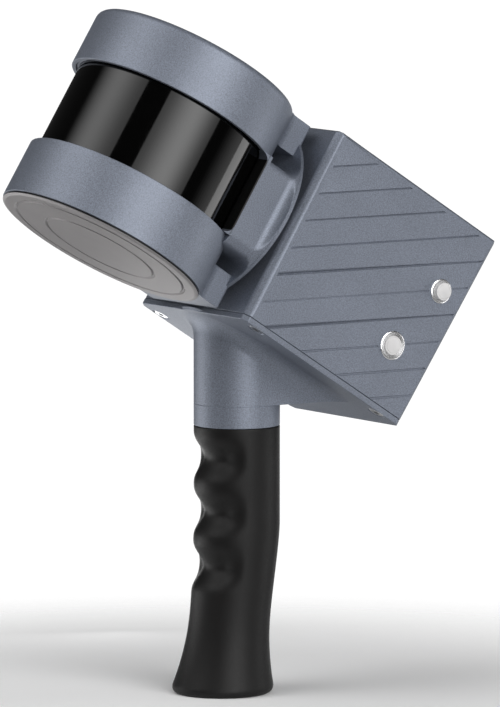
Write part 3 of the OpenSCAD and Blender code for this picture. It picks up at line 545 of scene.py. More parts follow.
@dataclass
class Work:
    """A mesh in millimetres that operators shape until it is finished as a piece."""

    bm: bmesh.types.BMesh = field(default_factory=bmesh.new)

    @classmethod
    def face(cls, outline: Sequence[Point], rounds: Optional[dict[int, float]] = None) -> "Work":
        """Make a flat face in XY, with some of its corners rounded.

        Args:
            outline: its corners.
            rounds: for a corner's number, the length that its rounding takes off each side.
        Returns:
            The workpiece.
        """
        work = cls()
        corners = [work.bm.verts.new((x, y, 0)) for x, y in outline]
        work.bm.faces.new(corners)
        for index, size in (rounds or {}).items():
            bmesh.ops.bevel(
                work.bm,
                geom=[corners[index]],
                offset=size,
                offset_type="OFFSET",
                segments=6,
                profile=0.5,
                affect="VERTICES",
                material=-1,
            )
        return work

    @classmethod
    def turned(
        cls, profile: Sequence[Point], rounds: Optional[dict[int, float]] = None, steps: int = 160
    ) -> "Work":
        """Turn a closed profile about Z, as on a lathe.

        Args:
            profile: its corners, as radius and height.
            rounds: for a corner's number, the length that its rounding takes off each side.
            steps: sides of the full turn.
        Returns:
            The workpiece.
        """
        work = cls.face(profile, rounds)
        bm = work.bm
        bmesh.ops.rotate(bm, verts=bm.verts, matrix=Matrix.Rotation(math.pi / 2, 3, "X"))
        bmesh.ops.delete(bm, geom=bm.faces[:], context="FACES_ONLY")
        on_axis = [e for e in bm.edges if all(abs(v.co.x) < 1e-6 for v in e.verts)]
        bmesh.ops.delete(bm, geom=on_axis, context="EDGES")
        bmesh.ops.spin(
            bm,
            geom=bm.verts[:] + bm.edges[:],
            cent=(0, 0, 0),
            axis=(0, 0, 1),
            angle=2 * math.pi,
            steps=steps,
            use_merge=True,
        )
        return work.tidy()

    @classmethod
    def plate(
        cls,
        outline: Sequence[Point],
        low: float,
        high: float,
        rounds: Optional[dict[int, float]] = None,
    ) -> "Work":
        """Extrude an XY outline from one height to another."""
        work = cls.face(outline, rounds)
        bm = work.bm
        bmesh.ops.translate(bm, verts=bm.verts, vec=(0, 0, low))
        grown = bmesh.ops.extrude_face_region(bm, geom=bm.faces[:])["geom"]
        top = [v for v in grown if isinstance(v, bmesh.types.BMVert)]
        bmesh.ops.translate(bm, verts=top, vec=(0, 0, high - low))
        return work.tidy()

    @classmethod
    def block(cls, low: Sequence[float], high: Sequence[float]) -> "Work":
        """Make a block between two corners."""
        work = cls()
        bmesh.ops.create_cube(work.bm, size=1)
        size = [b - a for a, b in zip(low, high)]
        middle = [(a + b) / 2 for a, b in zip(low, high)]
        bmesh.ops.scale(work.bm, verts=work.bm.verts, vec=size)
        bmesh.ops.translate(work.bm, verts=work.bm.verts, vec=middle)
        return work

    @classmethod
    def rod(cls, radius: float, low: float, high: float, sides: int = 96) -> "Work":
        """Make a rod along Z."""
        work = cls()
        bmesh.ops.create_cone(
            work.bm,
            cap_ends=True,
            segments=sides,
            radius1=radius,
            radius2=radius,
            depth=high - low,
            matrix=Matrix.Translation((0, 0, (low + high) / 2)),
        )
        return work

    @classmethod
    def copied(cls, node: str) -> "Work":
        """Copy a CAD node in metres, with its triangles merged to whole faces."""
        work = cls()
        bm = work.bm
        bm.from_mesh(frame["nodes"][node].data)
        bmesh.ops.remove_doubles(bm, verts=bm.verts, dist=2e-6)
        bmesh.ops.dissolve_limit(
            bm, angle_limit=math.radians(0.4), verts=bm.verts, edges=bm.edges
        )
        return work

    def tidy(self) -> "Work":
        """Merge doubles, drop empty faces and point the rest outwards."""
        bm = self.bm
        bmesh.ops.remove_doubles(bm, verts=bm.verts, dist=1e-4)
        bmesh.ops.dissolve_degenerate(bm, edges=bm.edges, dist=1e-5)
        bmesh.ops.recalc_face_normals(bm, faces=bm.faces)
        return self

    def moved(self, matrix: Matrix) -> "Work":
        """Move the workpiece by a matrix."""
        bmesh.ops.transform(self.bm, matrix=matrix, verts=self.bm.verts)
        return self

    def at(self, x: float = 0, y: float = 0, z: float = 0) -> "Work":
        """Shift the workpiece."""
        return self.moved(Matrix.Translation((x, y, z)))

    def taken(self, other: "Work") -> "Work":
        """Add the other's faces as they are, and use the other up."""
        spare = bpy.data.meshes.new("spare")
        other.bm.to_mesh(spare)
        other.bm.free()
        self.bm.from_mesh(spare)
        bpy.data.meshes.remove(spare)
        return self

    def work_on(self, other: "Work", how: Join) -> "Work":
        """Weld on or cut by another workpiece, which is used up.

        Args:
            other: the workpiece that acts on this one.
            how: what it does.
        Returns:
            This workpiece.
        """
        objects = []
        for work in (self, other):
            mesh = bpy.data.meshes.new("bench")
            work.bm.to_mesh(mesh)
            objects.append(stood("bench", mesh))
        other.bm.free()
        tool = objects[0].modifiers.new("tool", "BOOLEAN")
        tool.operation, tool.solver, tool.object = how.value, "EXACT", objects[1]
        bpy.context.view_layer.update()
        seen = objects[0].evaluated_get(bpy.context.evaluated_depsgraph_get())
        self.bm.clear()
        self.bm.from_mesh(seen.to_mesh())
        seen.to_mesh_clear()
        for made in objects:
            mesh = made.data
            bpy.data.objects.remove(made)
            bpy.data.meshes.remove(mesh)
        bmesh.ops.remove_doubles(self.bm, verts=self.bm.verts, dist=1e-3)
        bmesh.ops.dissolve_degenerate(self.bm, edges=self.bm.edges, dist=1e-3)
        return self

    def eased(
        self,
        width: float,
        segments: int = 2,
        angle: float = 28,
        where: Optional[Callable[[bmesh.types.BMEdge], bool]] = None,
    ) -> "Work":
        """Round the sharp edges off.

        Args:
            width: how much of each face the rounding takes.
            segments: its steps.
            angle: how sharply an edge must turn, in degrees.
            where: which of those edges, or all of them.
        Returns:
            This workpiece.
        """
        sharp = [
            e
            for e in self.bm.edges
            if len(e.link_faces) == 2
            and e.calc_face_angle(0) > math.radians(angle)
            and (where is None or where(e))
        ]
        bmesh.ops.bevel(
            self.bm,
            geom=sharp,
            offset=width,
            offset_type="OFFSET",
            segments=segments,
            profile=0.5,
            affect="EDGES",
            clamp_overlap=False,
            loop_slide=True,
            material=-1,
        )
        return self

    def finish(
        self,
        name: str,
        place: Matrix,
        body: Body,
        slot: Slot,
        replaces: Sequence[str] = (),
        smooth: float = 32,
    ) -> bpy.types.Object:
        """Place the workpiece in the row frame as a dressed piece that rides on a body.

        Args:
            name: the piece's name.
            place: from the workpiece's frame to the row frame, in metres.
            body: the body that it rides on.
            slot: the material slot that it takes its finish from.
            replaces: CAD nodes that it stands for.
            smooth: the steepest turn between faces, in degrees, that is shaded smooth.
        Returns:
            The piece.
        """
        bmesh.ops.transform(self.bm, matrix=place, verts=self.bm.verts)
        for face in self.bm.faces:
            face.smooth = True
        mesh = bpy.data.meshes.new(name)
        self.bm.to_mesh(mesh)
        self.bm.free()
        mesh.set_sharp_from_angle(angle=math.radians(smooth))
        piece = stood(name, mesh)
        weigh = piece.modifiers.new("weighted normals", "WEIGHTED_NORMAL")
        weigh.keep_sharp = True
        mesh.materials.append(FINISHES[slot].material())
        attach(piece, body.value)
        if replaces:
            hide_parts(*replaces)
        LOG.info("%s: %d faces", name, len(mesh.polygons))
        return piece


def smoothstep(t: float) -> float:
    """Ease from 0 to 1."""
    c = min(1.0, max(0.0, t))
    return c * c * (3 - 2 * c)


# ---- grip -----------------------------------------------------------------------------


@dataclass
class Grip:
    """The rubber grip with its finger grooves, the collar over it and the cap under it."""

    height: float = 134
    neck_r: float = 21.5
    neck_y: float = 8.8
    waist: float = 1.3
    flare: float = 6.2
    flare_h: float = 40
    lean: float = 8.8
    lean_h: float = 85
    rim: float = 4.5
    finger_top: float = 118
    finger_n: int = 3
    finger_pitch: float = 27.2
    finger_depth: float = 5.3
    finger_flat: float = 34
    finger_fade: float = 40
    lip: float = 0.7
    foot_r: float = 17
    collar_h: float = 11
    core_r: float = 11
    sides: int = 112
    play: float = 0.1
    recess_h: float = 15.1
    screw_n: int = 3
    screw_at: float = 12.5

    def radius(self, z: float) -> float:
        """Radius at a height, without grooves."""
        waist = self.waist * (1 - smoothstep((z - self.flare_h) / (self.lean_h - self.flare_h)))
        rim = 0.0
        if z < self.rim:
            rim = self.rim - math.sqrt(max(0, self.rim**2 - (self.rim - z) ** 2))
        lip = 0.0
        if z > self.height - self.lip:
            up = z - self.height + self.lip
            lip = self.lip - math.sqrt(max(0, self.lip**2 - up**2))
        return self.neck_r - waist + self.flare * max(0, 1 - z / self.flare_h) ** 2 - rim - lip

    def centre(self, z: float) -> float:
        """Y of the centre line at a height."""
        return self.neck_y - self.lean * max(0, 1 - z / self.lean_h) ** 1.25

    def groove(self, z: float, angle: float) -> float:
        """Depth of the finger grooves at a height and an angle from the front."""
        s = (self.finger_top - z) / self.finger_pitch
        if s < -0.5 or s > self.finger_n - 0.5:
            return 0.0
        share = 1 - smoothstep((abs(math.degrees(angle)) - self.finger_flat) / self.finger_fade)
        return self.finger_depth * (0.5 + 0.5 * math.cos(2 * math.pi * s)) ** 1.3 * share

    def ring(self, bm: bmesh.types.BMesh, edges: list, old: float, new: float) -> list:
        """Extrude the open ring to a new height.

        Args:
            bm: the mesh.
            edges: the open ring's edges.
            old: its height.
            new: the new ring's height.
        Returns:
            The new ring's edges.
        """

        def place(vert: bmesh.types.BMVert) -> Vector:
            angle = math.atan2(vert.co.x, self.centre(old) - vert.co.y)
            r = self.radius(new) - self.groove(new, angle)
            return round_from(0, self.centre(new), r, angle, new)

        return drawn(bm, edges, place)

    def rubber(self) -> bpy.types.Object:
        """The rubber sleeve, closed at the collar and hollow for its base cap."""
        work = Work()
        bm = work.bm
        bmesh.ops.create_circle(bm, cap_ends=False, segments=self.sides, radius=self.radius(0))
        rim = edges = bm.edges[:]
        levels = [self.rim * (1 - math.cos(math.radians(11.25 * i))) for i in range(1, 9)]
        steps = 104
        reach = self.height - self.lip - self.rim
        levels += [self.rim + reach * j / steps for j in range(1, steps + 1)]
        levels += [self.height - self.lip * (1 - math.sin(math.radians(a))) for a in (30, 60, 90)]
        z = 0.0
        for level in levels:
            edges = self.ring(bm, edges, z, level)
            z = level

        def inner(vert: bmesh.types.BMVert) -> Vector:
            angle = math.atan2(vert.co.x, self.neck_y - vert.co.y)
            return round_from(0, self.neck_y, self.core_r + self.play, angle, self.height)

        bore = drawn(bm, edges, inner)
        recess = self.recess(bm, rim)
        bmesh.ops.bridge_loops(bm, edges=bore + recess)
        work.tidy()
        return work.finish(
            "rubber_grip_sleeve", AT.row(), Body.HANDHELD, Slot.RUBBER, ["rubber_grip"]
        )

    def recess(self, bm: bmesh.types.BMesh, rim: list) -> list:
        """Sink the foot's recess from the lower rim, up to a ring round the core.

        Args:
            bm: the mesh.
            rim: the lowest ring's edges.
        Returns:
            The ring of edges round the core.
        """
        edges = rim
        room = self.foot_r + self.play
        for r, z, y in (
            (room + 0.5, 0, 0),
            (room, 0.5, 0),
            (room, self.recess_h, 0),
            (self.core_r + self.play, self.recess_h, 2),
        ):
            edges = drawn(
                bm, edges, lambda v: round_from(0, y, r, math.atan2(v.co.x, -v.co.y), z)
            )
        return edges

    def collar(self) -> bpy.types.Object:
        """The metal collar between the rubber and the neck."""
        r, h = self.neck_r, self.collar_h
        profile = [(self.core_r + 0.02, 0), (r, 0), (r, h), (self.core_r + 0.02, h)]
        work = Work.turned(profile, {1: 0.35, 2: 0.35})
        place = AT.row() @ Matrix.Translation((0, self.neck_y, self.height))
        return work.finish("collar_ring", place, Body.HANDHELD, Slot.BODY, ["neck_collar"])

    def cap(self) -> bpy.types.Object:
        """The cap under the grip, with a ring groove and holes for its screws."""
        profile = [(4.52, 0), (13.4, 0), (13.4, 0.3), (14.4, 0.3)]
        profile += [(14.4, 0), (17, 0), (17, 3), (4.52, 3)]
        work = Work.turned(profile, {5: 0.5})
        for i in range(self.screw_n):
            turn = Matrix.Rotation(math.radians(-90 + 360 / self.screw_n * i), 4, "Z")
            place = turn @ Matrix.Translation((self.screw_at, 0, 0))
            work.work_on(Work.rod(2.5, -1, 1.41, 48).moved(place), Join.CUT)
            work.work_on(Work.rod(1.27, 0, 5, 32).moved(place), Join.CUT)
        return work.finish("base_cap_plate", AT.row(), Body.HANDHELD, Slot.PLASTIC, ["base_cap"])

    def insert(self) -> bpy.types.Object:
        """The brass insert, with the ridges of its thread."""
        pitch, crest, root = 1.27, 2.55, 3.05
        profile = [(0, 12), (0, 10.2), (crest, 9.6)]
        for i in range(7, 0, -1):
            profile += [(crest, i * pitch + 0.32), (root, i * pitch), (crest, i * pitch - 0.32)]
        profile += [(crest, 0.6), (3.2, 0), (4.5, 0), (4.5, 12)]
        work = Work.turned(profile, steps=72)
        return work.finish("tripod_bush", AT.row(), Body.HANDHELD, Slot.BRASS, ["tripod_insert"])

    def build(self) -> None:
        """Make every piece of the grip."""
        self.rubber()
        self.collar()
        self.cap()
        self.insert()


# ---- neck -----------------------------------------------------------------------------


@dataclass
class Neck:
    """The neck, its gusset and the box's bottom plate, cast in one, and the plate's screws."""

    foot_z: float = 145
    neck_r: float = 21.5
    neck_y: float = 8.8
    height: float = 47.4
    side_fillet: float = 10.5
    front_fillet: float = 14
    depth: float = 110
    half_w: float = 47.5
    plate_t: float = 3
    front_bevel: float = 3
    rear_bevel: float = 2.4
    screw_x: float = 43
    screw_ys: tuple[float, float] = (12, 97)
    screw_r: float = 4.2

    def under(self, y: float) -> float:
        """Height of the plate's underside over a point."""
        return AT.box_z - (y - AT.box_y) * math.tan(math.radians(AT.tilt))

    def outline(self) -> list[tuple[float, float, float]]:
        """The neck's plan: each point with its outward angle from the front."""
        back = AT.box_y + self.height / math.tan(math.radians(AT.tilt)) - 0.3
        n, arc = 30, 48
        ys = [self.neck_y + (back - self.neck_y) * i / n for i in range(n + 1)]
        points = [(self.neck_r, y, 90.0) for y in reversed(ys)]
        for i in range(1, arc):
            a = 90 - 180 * i / arc
            turn = math.radians(a)
            points.append(
                (self.neck_r * math.sin(turn), self.neck_y - self.neck_r * math.cos(turn), a)
            )
        points += [(-self.neck_r, y, -90.0) for y in ys]
        return points

    def blend(self, point: tuple[float, float, float], t: float) -> Vector:
        """One point of the fillet from the wall, at 0, round on to the plate, at 1.

        Args:
            point: where it stands in the plan, and its outward angle.
            t: how far round the fillet.
        Returns:
            The point.
        """
        x, y, a = point
        a = math.radians(a)
        slope = math.tan(math.radians(AT.tilt)) * math.cos(a)
        r = self.side_fillet + (self.front_fillet - self.side_fillet) * max(0, math.cos(a))
        centre = self.under(y) + slope * r - math.sqrt(1 + slope * slope) * r
        end = math.pi / 2 + math.atan(slope)
        start = math.pi
        if centre < self.foot_z:
            start = math.pi - math.asin(min(1, (self.foot_z - centre) / r))
        turn = start + (end - start) * t
        out = r + r * math.cos(turn)
        z = max(self.foot_z, centre + r * math.sin(turn))
        return Vector((x + out * math.sin(a), y - out * math.cos(a), z))

    def column(self) -> Work:
        """The neck and gusset, drawn up ring by ring into the plate."""
        work = Work()
        bm = work.bm
        plan = self.outline()
        bmesh.ops.create_circle(bm, cap_ends=False, segments=len(plan), radius=1)
        bm.verts.ensure_lookup_table()
        mark = bm.verts.layers.int.new("plan")
        for index, vert in enumerate(bm.verts):
            vert[mark] = index
            foot = self.blend(plan[index], 0)
            vert.co = (foot.x, foot.y, self.foot_z)
        edges = bm.edges[:]
        bmesh.ops.edgeloop_fill(bm, edges=edges)
        steps = 14
        shifts = [(j / steps, 0.01 * (j + 1)) for j in range(steps + 1)] + [(1.0, 1.6)]
        for t, lift in shifts:
            rise = Vector((0, 0, lift))
            edges = drawn(bm, edges, lambda v: self.blend(plan[v[mark]], t) + rise)
        bmesh.ops.edgeloop_fill(bm, edges=edges)
        work.moved(AT.tilted().inverted() @ AT.row())
        return work.tidy()

    def casting(self) -> bpy.types.Object:
        """Neck, gusset and plate, with pockets for the screws."""
        w, d, b, c = self.half_w, self.depth, self.front_bevel, self.rear_bevel
        right = [(w - b, 0), (w, b), (w, d - c), (w - c, d)]
        outline = right + [(-x, y) for x, y in reversed(right)]
        work = Work.plate(outline, 0, self.plate_t).eased(0.35, 3)
        work.work_on(self.column(), Join.WELD)
        for x in (-self.screw_x, self.screw_x):
            for y in self.screw_ys:
                r = self.screw_r + 0.1
                pocket = Work.turned(
                    [(0, -2), (r + 0.35, -2), (r + 0.35, 0), (r, 0.35), (r, 2.1), (0, 2.1)],
                    steps=64,
                )
                work.work_on(pocket.at(x, y), Join.CUT)
        return work.finish("neck_and_plate", AT.tilted(), Body.HANDHELD, Slot.BODY, ["neck_casting"])

    def screws(self) -> bpy.types.Object:
        """The four screws in the plate, with chamfered heads and hexagon sockets."""
        work = Work()
        for x in (-self.screw_x, self.screw_x):
            for y in self.screw_ys:
                r = self.screw_r
                head = Work.turned(
                    [(0, 0.15), (r - 0.55, 0.15), (r, 0.6), (r, 2), (2, 2), (2, 16), (0, 16)],
                    {1: 0.25},
                    steps=72,
                )
                socket = Work.rod(1.75, -1, 1.55, 6)
                head.work_on(socket, Join.CUT)
                work.taken(head.at(x, y))
        return work.finish("plate_screws", AT.tilted(), Body.HANDHELD, Slot.STEEL, ["bottom_screws"])

    def build(self) -> None:
        """Make every piece of the neck."""
        self.casting()
        self.screws()


# ---- box ------------------------------------------------------------------------------


@dataclass
class Box:
    """The grooved shell of the electronics box."""

    ease: float = 0.25
    front_round: float = 1.3
    depth: float = 110
    height: float = 107
    half_w: float = 47.5
    front_bevel: float = 3

    def shell(self) -> bpy.types.Object:
        """The shell, its edges eased as blasting leaves them."""
        work = Work.copied("housing_shell").moved(AT.tilted().inverted())

        def upright(edge: bmesh.types.BMEdge) -> bool:
            a, b = (v.co for v in edge.verts)
            return abs(b.z - a.z) > 60 and abs(a.x) > self.half_w - self.front_bevel - 0.5

        def outside(edge: bmesh.types.BMEdge) -> bool:
            return any(
                abs(v.co.x) < self.half_w - 1
                or not 3.6 < v.co.z < self.height - 1.6
                or not 3.5 < v.co.y < self.depth - 1
                for v in edge.verts
            )

        work.eased(self.front_round, 5, 20, lambda e: upright(e) and e.verts[0].co.y < 20)
        work.eased(self.ease, 2, 24, outside)
        return work.finish(
            "grooved_shell", AT.tilted(), Body.HANDHELD, Slot.BODY, ["housing_shell"]
        )

    def build(self) -> None:
        """Make every piece of the box."""
        self.shell()


# ---- buttons --------------------------------------------------------------------------


@dataclass
class Button:
    """A push button: a polished bezel in the box's side, and a cap that travels in it."""

    name: str
    y: float
    z: float
    bezel_r: float
    cap_r: float
    proud: float
    body: Body
    lip: float = 0.9
    barrel: float = 15
    cap_len: float = 10

    def bezel(self) -> bpy.types.Object:
        """The bezel: a ring dished towards the cap, over its barrel."""
        r, c, lip = self.bezel_r, self.cap_r + 0.08, self.lip
        profile = [
            (c, -self.barrel + 2),
            (c, lip - 0.25),
            (r - 0.7, lip),
            (r, lip - 0.35),
            (r, 0),
            (r - 1.2, 0),
            (r - 1.2, -self.barrel),
            (0, -self.barrel),
            (0, -self.barrel + 2),
        ]
        work = Work.turned(profile, {2: 0.3, 3: 0.15}, steps=96)
        place = AT.side(self.y, self.z)
        return work.finish(
            f"{self.name}_ring", place, Body.HANDHELD, Slot.CHROME, [f"{self.name}_button_bezel"]
        )

    def cap(self) -> bpy.types.Object:
        """The cap: a satin face with a fine ring cut in it."""
        r, top = self.cap_r, self.lip + self.proud
        low = top - self.cap_len
        ring = r * 0.8
        profile = [
            (0, low),
            (r, low),
            (r, top),
            (ring + 0.18, top),
            (ring, top - 0.16),
            (ring - 0.18, top),
            (ring - 0.5, top),
            (0, top - 0.12),
        ]
        work = Work.turned(profile, {2: 0.45}, steps=96)
        place = AT.side(self.y, self.z)
        return work.finish(
            f"{self.name}_push", place, self.body, Slot.CAP, [f"{self.name}_button_cap"]
        )

    def build(self) -> None:
        """Make both pieces of the button."""
        self.bezel()
        self.cap()


# ---- head -----------------------------------------------------------------------------


@dataclass
class Head:
    """The turning head: two rings, their tails, the back with its cheeks, window and disc."""

    ring_r: float = 54.3
    lower_h: float = 31.5
    window_h: float = 45
    upper_h: float = 29.5
    window_r: float = 50.3
    window_t: float = 2.5
    window_ends: tuple[float, float] = (26, 82)
    bore_r: float = 50.5
    ledge_r: float = 46
    disc_r: float = 51.3
    disc_rim: float = 53.8
    disc_t: float = 3
    disc_grooves: tuple[float, float] = (29.5, 46)
    groove_h: float = 0.8
    ring_z: float = 1.7
    back_r: float = 50
    back_y: float = -5
    back_t: float = 2
    cheek_x: float = 45
    cheek_y: float = -27.7
    cheek_z: tuple[float, float] = (27, 75.5)
    cheek_fillet: float = 5.5
    corner: float = 5.5
    ear_x: float = 40
    hub_r: float = 16.1
    tail_x: float = 30
    tail_h: float = 17.5
    tail_edge: float = 1.5
    tail_fillet: float = 6
    tail_round: float = 1.5
    cap_round: float = 3.5

    @property
    def window_z(self) -> tuple[float, float]:
        """The window opening's lower and upper edge."""
        return self.lower_h, self.lower_h + self.window_h

    @property
    def height(self) -> float:
        """The head's whole height."""
        return self.lower_h + self.window_h + self.upper_h

    def tail(self, low: float) -> Work:
        """A tail block, its front swept into the ring by fillets, from a height.

        Args:
            low: the block's lower face.
        Returns:
            The workpiece, about the spin axis.
        """
        f, x = self.tail_fillet, self.tail_x
        back = self.back_y - AT.lidar_y
        meet = math.sqrt((self.ring_r + f) ** 2 - (x + f) ** 2)
        work = Work()
        bm = work.bm
        start = bm.verts.new((x, meet, 0))
        swing = math.atan2(meet, x + f)
        turned = bmesh.ops.spin(
            bm, geom=[start], cent=(x + f, meet, 0), axis=(0, 0, 1), angle=swing, steps=7
        )
        edge = bm.verts.new((x - 4, meet - 12, 0))
        bm.edges.new((turned["geom_last"][0], edge))
        corner = bm.verts.new((x, back, 0))
        bm.edges.new((start, corner))
        every = bm.verts[:] + bm.edges[:]
        bmesh.ops.mirror(bm, geom=every, matrix=Matrix.Identity(4), axis="X", merge_dist=1e-5)
        for y in (back, meet - 12):
            pair = [v for v in bm.verts if abs(v.co.y - y) < 1e-3]
            bm.edges.new(pair)
        bmesh.ops.edgeloop_fill(bm, edges=bm.edges)
        bmesh.ops.translate(bm, verts=bm.verts, vec=(0, 0, low))
        grown = bmesh.ops.extrude_face_region(bm, geom=bm.faces[:])["geom"]
        top = [v for v in grown if isinstance(v, bmesh.types.BMVert)]
        bmesh.ops.translate(bm, verts=top, vec=(0, 0, self.tail_h))
        work.tidy()

        def rear(edge: bmesh.types.BMEdge) -> bool:
            a, b = (v.co for v in edge.verts)
            return min(a.y, b.y) > back - 0.1 and abs(a.x - b.x) < 0.1

        work.eased(self.tail_round, 4, 40, rear)
        return work.eased(0.3, 2, 40, lambda e: min(v.co.y for v in e.verts) > meet)

    def back_room(self) -> Work:
        """The room that the round back plate takes out of the tails, about the spin axis."""
        room = Work.rod(self.back_r + 0.1, self.back_y - self.back_t - 0.05, 5, 160)
        return room.moved(AT.spin().inverted() @ AT.pan())

    def add_tail(self, ring: Work, low: float, high: float) -> None:
        """Weld a tail block to a ring, and cut the back plate's room out of both.

        Args:
            ring: the ring, about the spin axis.
            low: the block's lower face.
            high: how far up the block is cleared out of the ring's inside.
        """
        tail = self.tail(low)
        tail.work_on(Work.rod(self.ring_r - 1.5, -1, high, 192), Join.CUT)
        ring.work_on(tail, Join.WELD)
        ring.work_on(self.back_room(), Join.CUT)

    def lower_ring(self) -> bpy.types.Object:
        """The lower ring with its tail."""
        r, h = self.ring_r, self.lower_h
        profile = [
            (self.disc_r + 0.5, self.ring_z),
            (r, self.ring_z),
            (r, h),
            (self.bore_r, h),
            (self.bore_r, 7.3),
            (self.ledge_r, 7.3),
            (self.ledge_r, 4.3),
            (self.disc_r + 0.5, 4.3),
        ]
        work = Work.turned(profile, {1: 0.35, 2: 0.45, 3: 0.3}, steps=192)
        self.add_tail(work, self.tail_edge, self.height)
        return work.finish("lower_ring_body", AT.spin(), Body.HEAD, Slot.BODY, ["lower_ring"])

    def upper_cap(self) -> bpy.types.Object:
        """The upper cap with its tail, and the step round its mouth."""
        r, top = self.ring_r, self.height
        z = self.window_z[1]
        profile = [
            (r, z),
            (r, top),
            (0, top),
            (0, 102.5),
            (self.ledge_r, 102.5),
            (self.ledge_r, 98.1),
            (self.bore_r, 98.1),
            (self.bore_r, z + 1),
            (self.bore_r + 1.5, z + 1),
            (self.bore_r + 1.5, z),
        ]
        work = Work.turned(profile, {0: 0.4, 1: self.cap_round, 9: 0.25}, steps=192)
        self.add_tail(work, self.height - self.tail_edge - self.tail_h, self.height + 1)
        return work.finish("upper_cap_body", AT.spin(), Body.HEAD, Slot.BODY, ["upper_cap"])

    def spread_at(self, angle: float, grow: float) -> float:
        """Radius of the cheeks' rounded outline about the pan axis.

        Args:
            angle: direction from the pan axis, from +X towards up.
            grow: how far the outline has grown in the fillet.
        Returns:
            The radius, no more than the back plate's.
        """
        c, s = math.cos(angle), math.sin(angle)
        up = (self.cheek_z[1] if s > 0 else self.cheek_z[0]) - AT.pan_z
        reach = [(self.cheek_x + grow) / abs(c)] if abs(c) > 1e-9 else []
        reach += [(abs(up) + grow) / abs(s)] if abs(s) > 1e-9 else []
        soft = sum(q**-14 for q in reach) ** (-1 / 14)
        return min(self.back_r, soft)

    def back(self) -> bpy.types.Object:
        """The round back plate, drawn forward into the cheeks, cut to the rings and window."""
        work = Work()
        bm = work.bm
        sides = 256
        bmesh.ops.create_circle(bm, cap_ends=False, segments=sides, radius=self.back_r - 0.3)
        edges = bm.edges[:]
        bmesh.ops.edgeloop_fill(bm, edges=edges)
        f = self.cheek_fillet
        rings = [(-0.3, None, 0.0), (-self.back_t + 0.3, None, 0.0), (-self.back_t, None, 0.3)]
        for i in range(10):
            turn = math.radians(9 * i)
            rings.append((-self.back_t - f * (1 - math.cos(turn)), f * (1 - math.sin(turn)), 0.3))
        rings.append((-self.back_t - f, 0.0, 0.3))
        rings.append((-self.back_t - f - 26, 0.0, 0.3))
        for z, grow, inset in rings:

            def place(vert: bmesh.types.BMVert) -> Vector:
                angle = math.atan2(-vert.co.y, vert.co.x)
                r = self.back_r - inset
                r = r if grow is None else min(r, self.spread_at(angle, grow))
                return Vector((r * math.cos(angle), -r * math.sin(angle), z))

            edges = drawn(bm, edges, place)
        bmesh.ops.edgeloop_fill(bm, edges=edges)
        work.moved(AT.spin().inverted() @ AT.pan(self.back_y))
        work.tidy()
        low, high = self.window_z
        front = self.cheek_y - AT.lidar_y
        work.work_on(Work.block((-60, -20, -5), (60, front, 110)), Join.CUT)
        for z in (low, high):
            work.work_on(self.ear(z), Join.WELD)
        work.work_on(Work.rod(self.ring_r + 0.1, -1, low + 0.1, 192), Join.CUT)
        work.work_on(Work.rod(self.ring_r + 0.1, high - 0.1, 120, 192), Join.CUT)
        work.work_on(Work.rod(self.window_r + 0.6, -1, 120, 192), Join.CUT)
        hub = Work.rod(self.hub_r, -4, 1, 64).moved(AT.spin().inverted() @ AT.pan(self.back_y))
        work.work_on(hub, Join.CUT)
        return work.finish("back_and_cheeks", AT.spin(), Body.HEAD, Slot.BODY, ["rear_housing"])

    def ear(self, z: float) -> Work:
        """The two rounded corners that a cheek makes with a ring, at one edge of the window."""
        inward = 1 if z == self.lower_h else -1
        front, c = self.cheek_y - AT.lidar_y, self.corner
        edge = z + 0.1 * inward
        end = edge + inward * c
        work = Work()
        for side in (-1, 1):
            x = side * self.ear_x
            ear = Work.block(
                (x - 5, front - c, min(edge, end)), (x + 5, front + 1.5, max(edge, end))
            )
            turn = Matrix.Rotation(math.pi / 2, 4, "Y")
            scoop = Work.rod(c, -20, 20, 96)
            scoop.moved(Matrix.Translation((x, front - c, end)) @ turn)
            ear.work_on(scoop, Join.CUT)
            work.taken(ear)
        return work

    def window(self) -> bpy.types.Object:
        """The window, a polished tube whose ends stand behind the rings."""
        r, t = self.window_r, self.window_t
        low, high = self.window_ends
        profile = [(r - t, low), (r, low), (r, high), (r - t, high)]
        work = Work.turned(profile, steps=256)
        return work.finish("window_tube", AT.spin(), Body.HEAD, Slot.WINDOW, ["ir_window"])

    def disc(self) -> bpy.types.Object:
        """The disc under the head, its rim over the ring's end, with two grooves."""
        r, rim, t, h = self.disc_r, self.disc_rim, self.disc_t, self.groove_h
        profile = [(0, t), (0, 0)]
        for groove in self.disc_grooves:
            profile += [(groove - 0.95, 0), (groove - 0.3, h)]
            profile += [(groove + 0.3, h), (groove + 0.95, 0)]
        profile += [(rim - 1.7, 0), (rim, 0.55), (rim, h), (r, h), (r, t)]
        work = Work.turned(profile, {10: 0.3, 11: 0.2}, steps=192)
        return work.finish("end_disc_plate", AT.spin(), Body.HEAD, Slot.DISC, ["end_disc"])

    def seal(self) -> bpy.types.Object:
        """The disc's seal, and a black lip in the gap under the ring, which is painted shade for the
        gap's shadow line.
        """
        inner = [(46.5, 3.02), (51.1, 3.02), (51.1, 4.28), (46.5, 4.28)]
        # painted shade: the black rubber lip fills the gap under the ring, where there is only a
        # shadow line; the inner ring is the real seal
        lip = [(51.9, 0.84), (53.2, 0.84), (53.2, 1.66), (51.9, 1.66)]
        work = Work.turned(inner, steps=192).taken(Work.turned(lip, steps=192))
        return work.finish("disc_seal", AT.spin(), Body.HEAD, Slot.RUBBER, ["end_disc_seal"])

    def build(self) -> None:
        """Make every piece of the head."""
        self.lower_ring()
        self.upper_cap()
        self.back()
        self.window()
        self.disc()
        self.seal()


# ---- studio ---------------------------------------------------------------------------


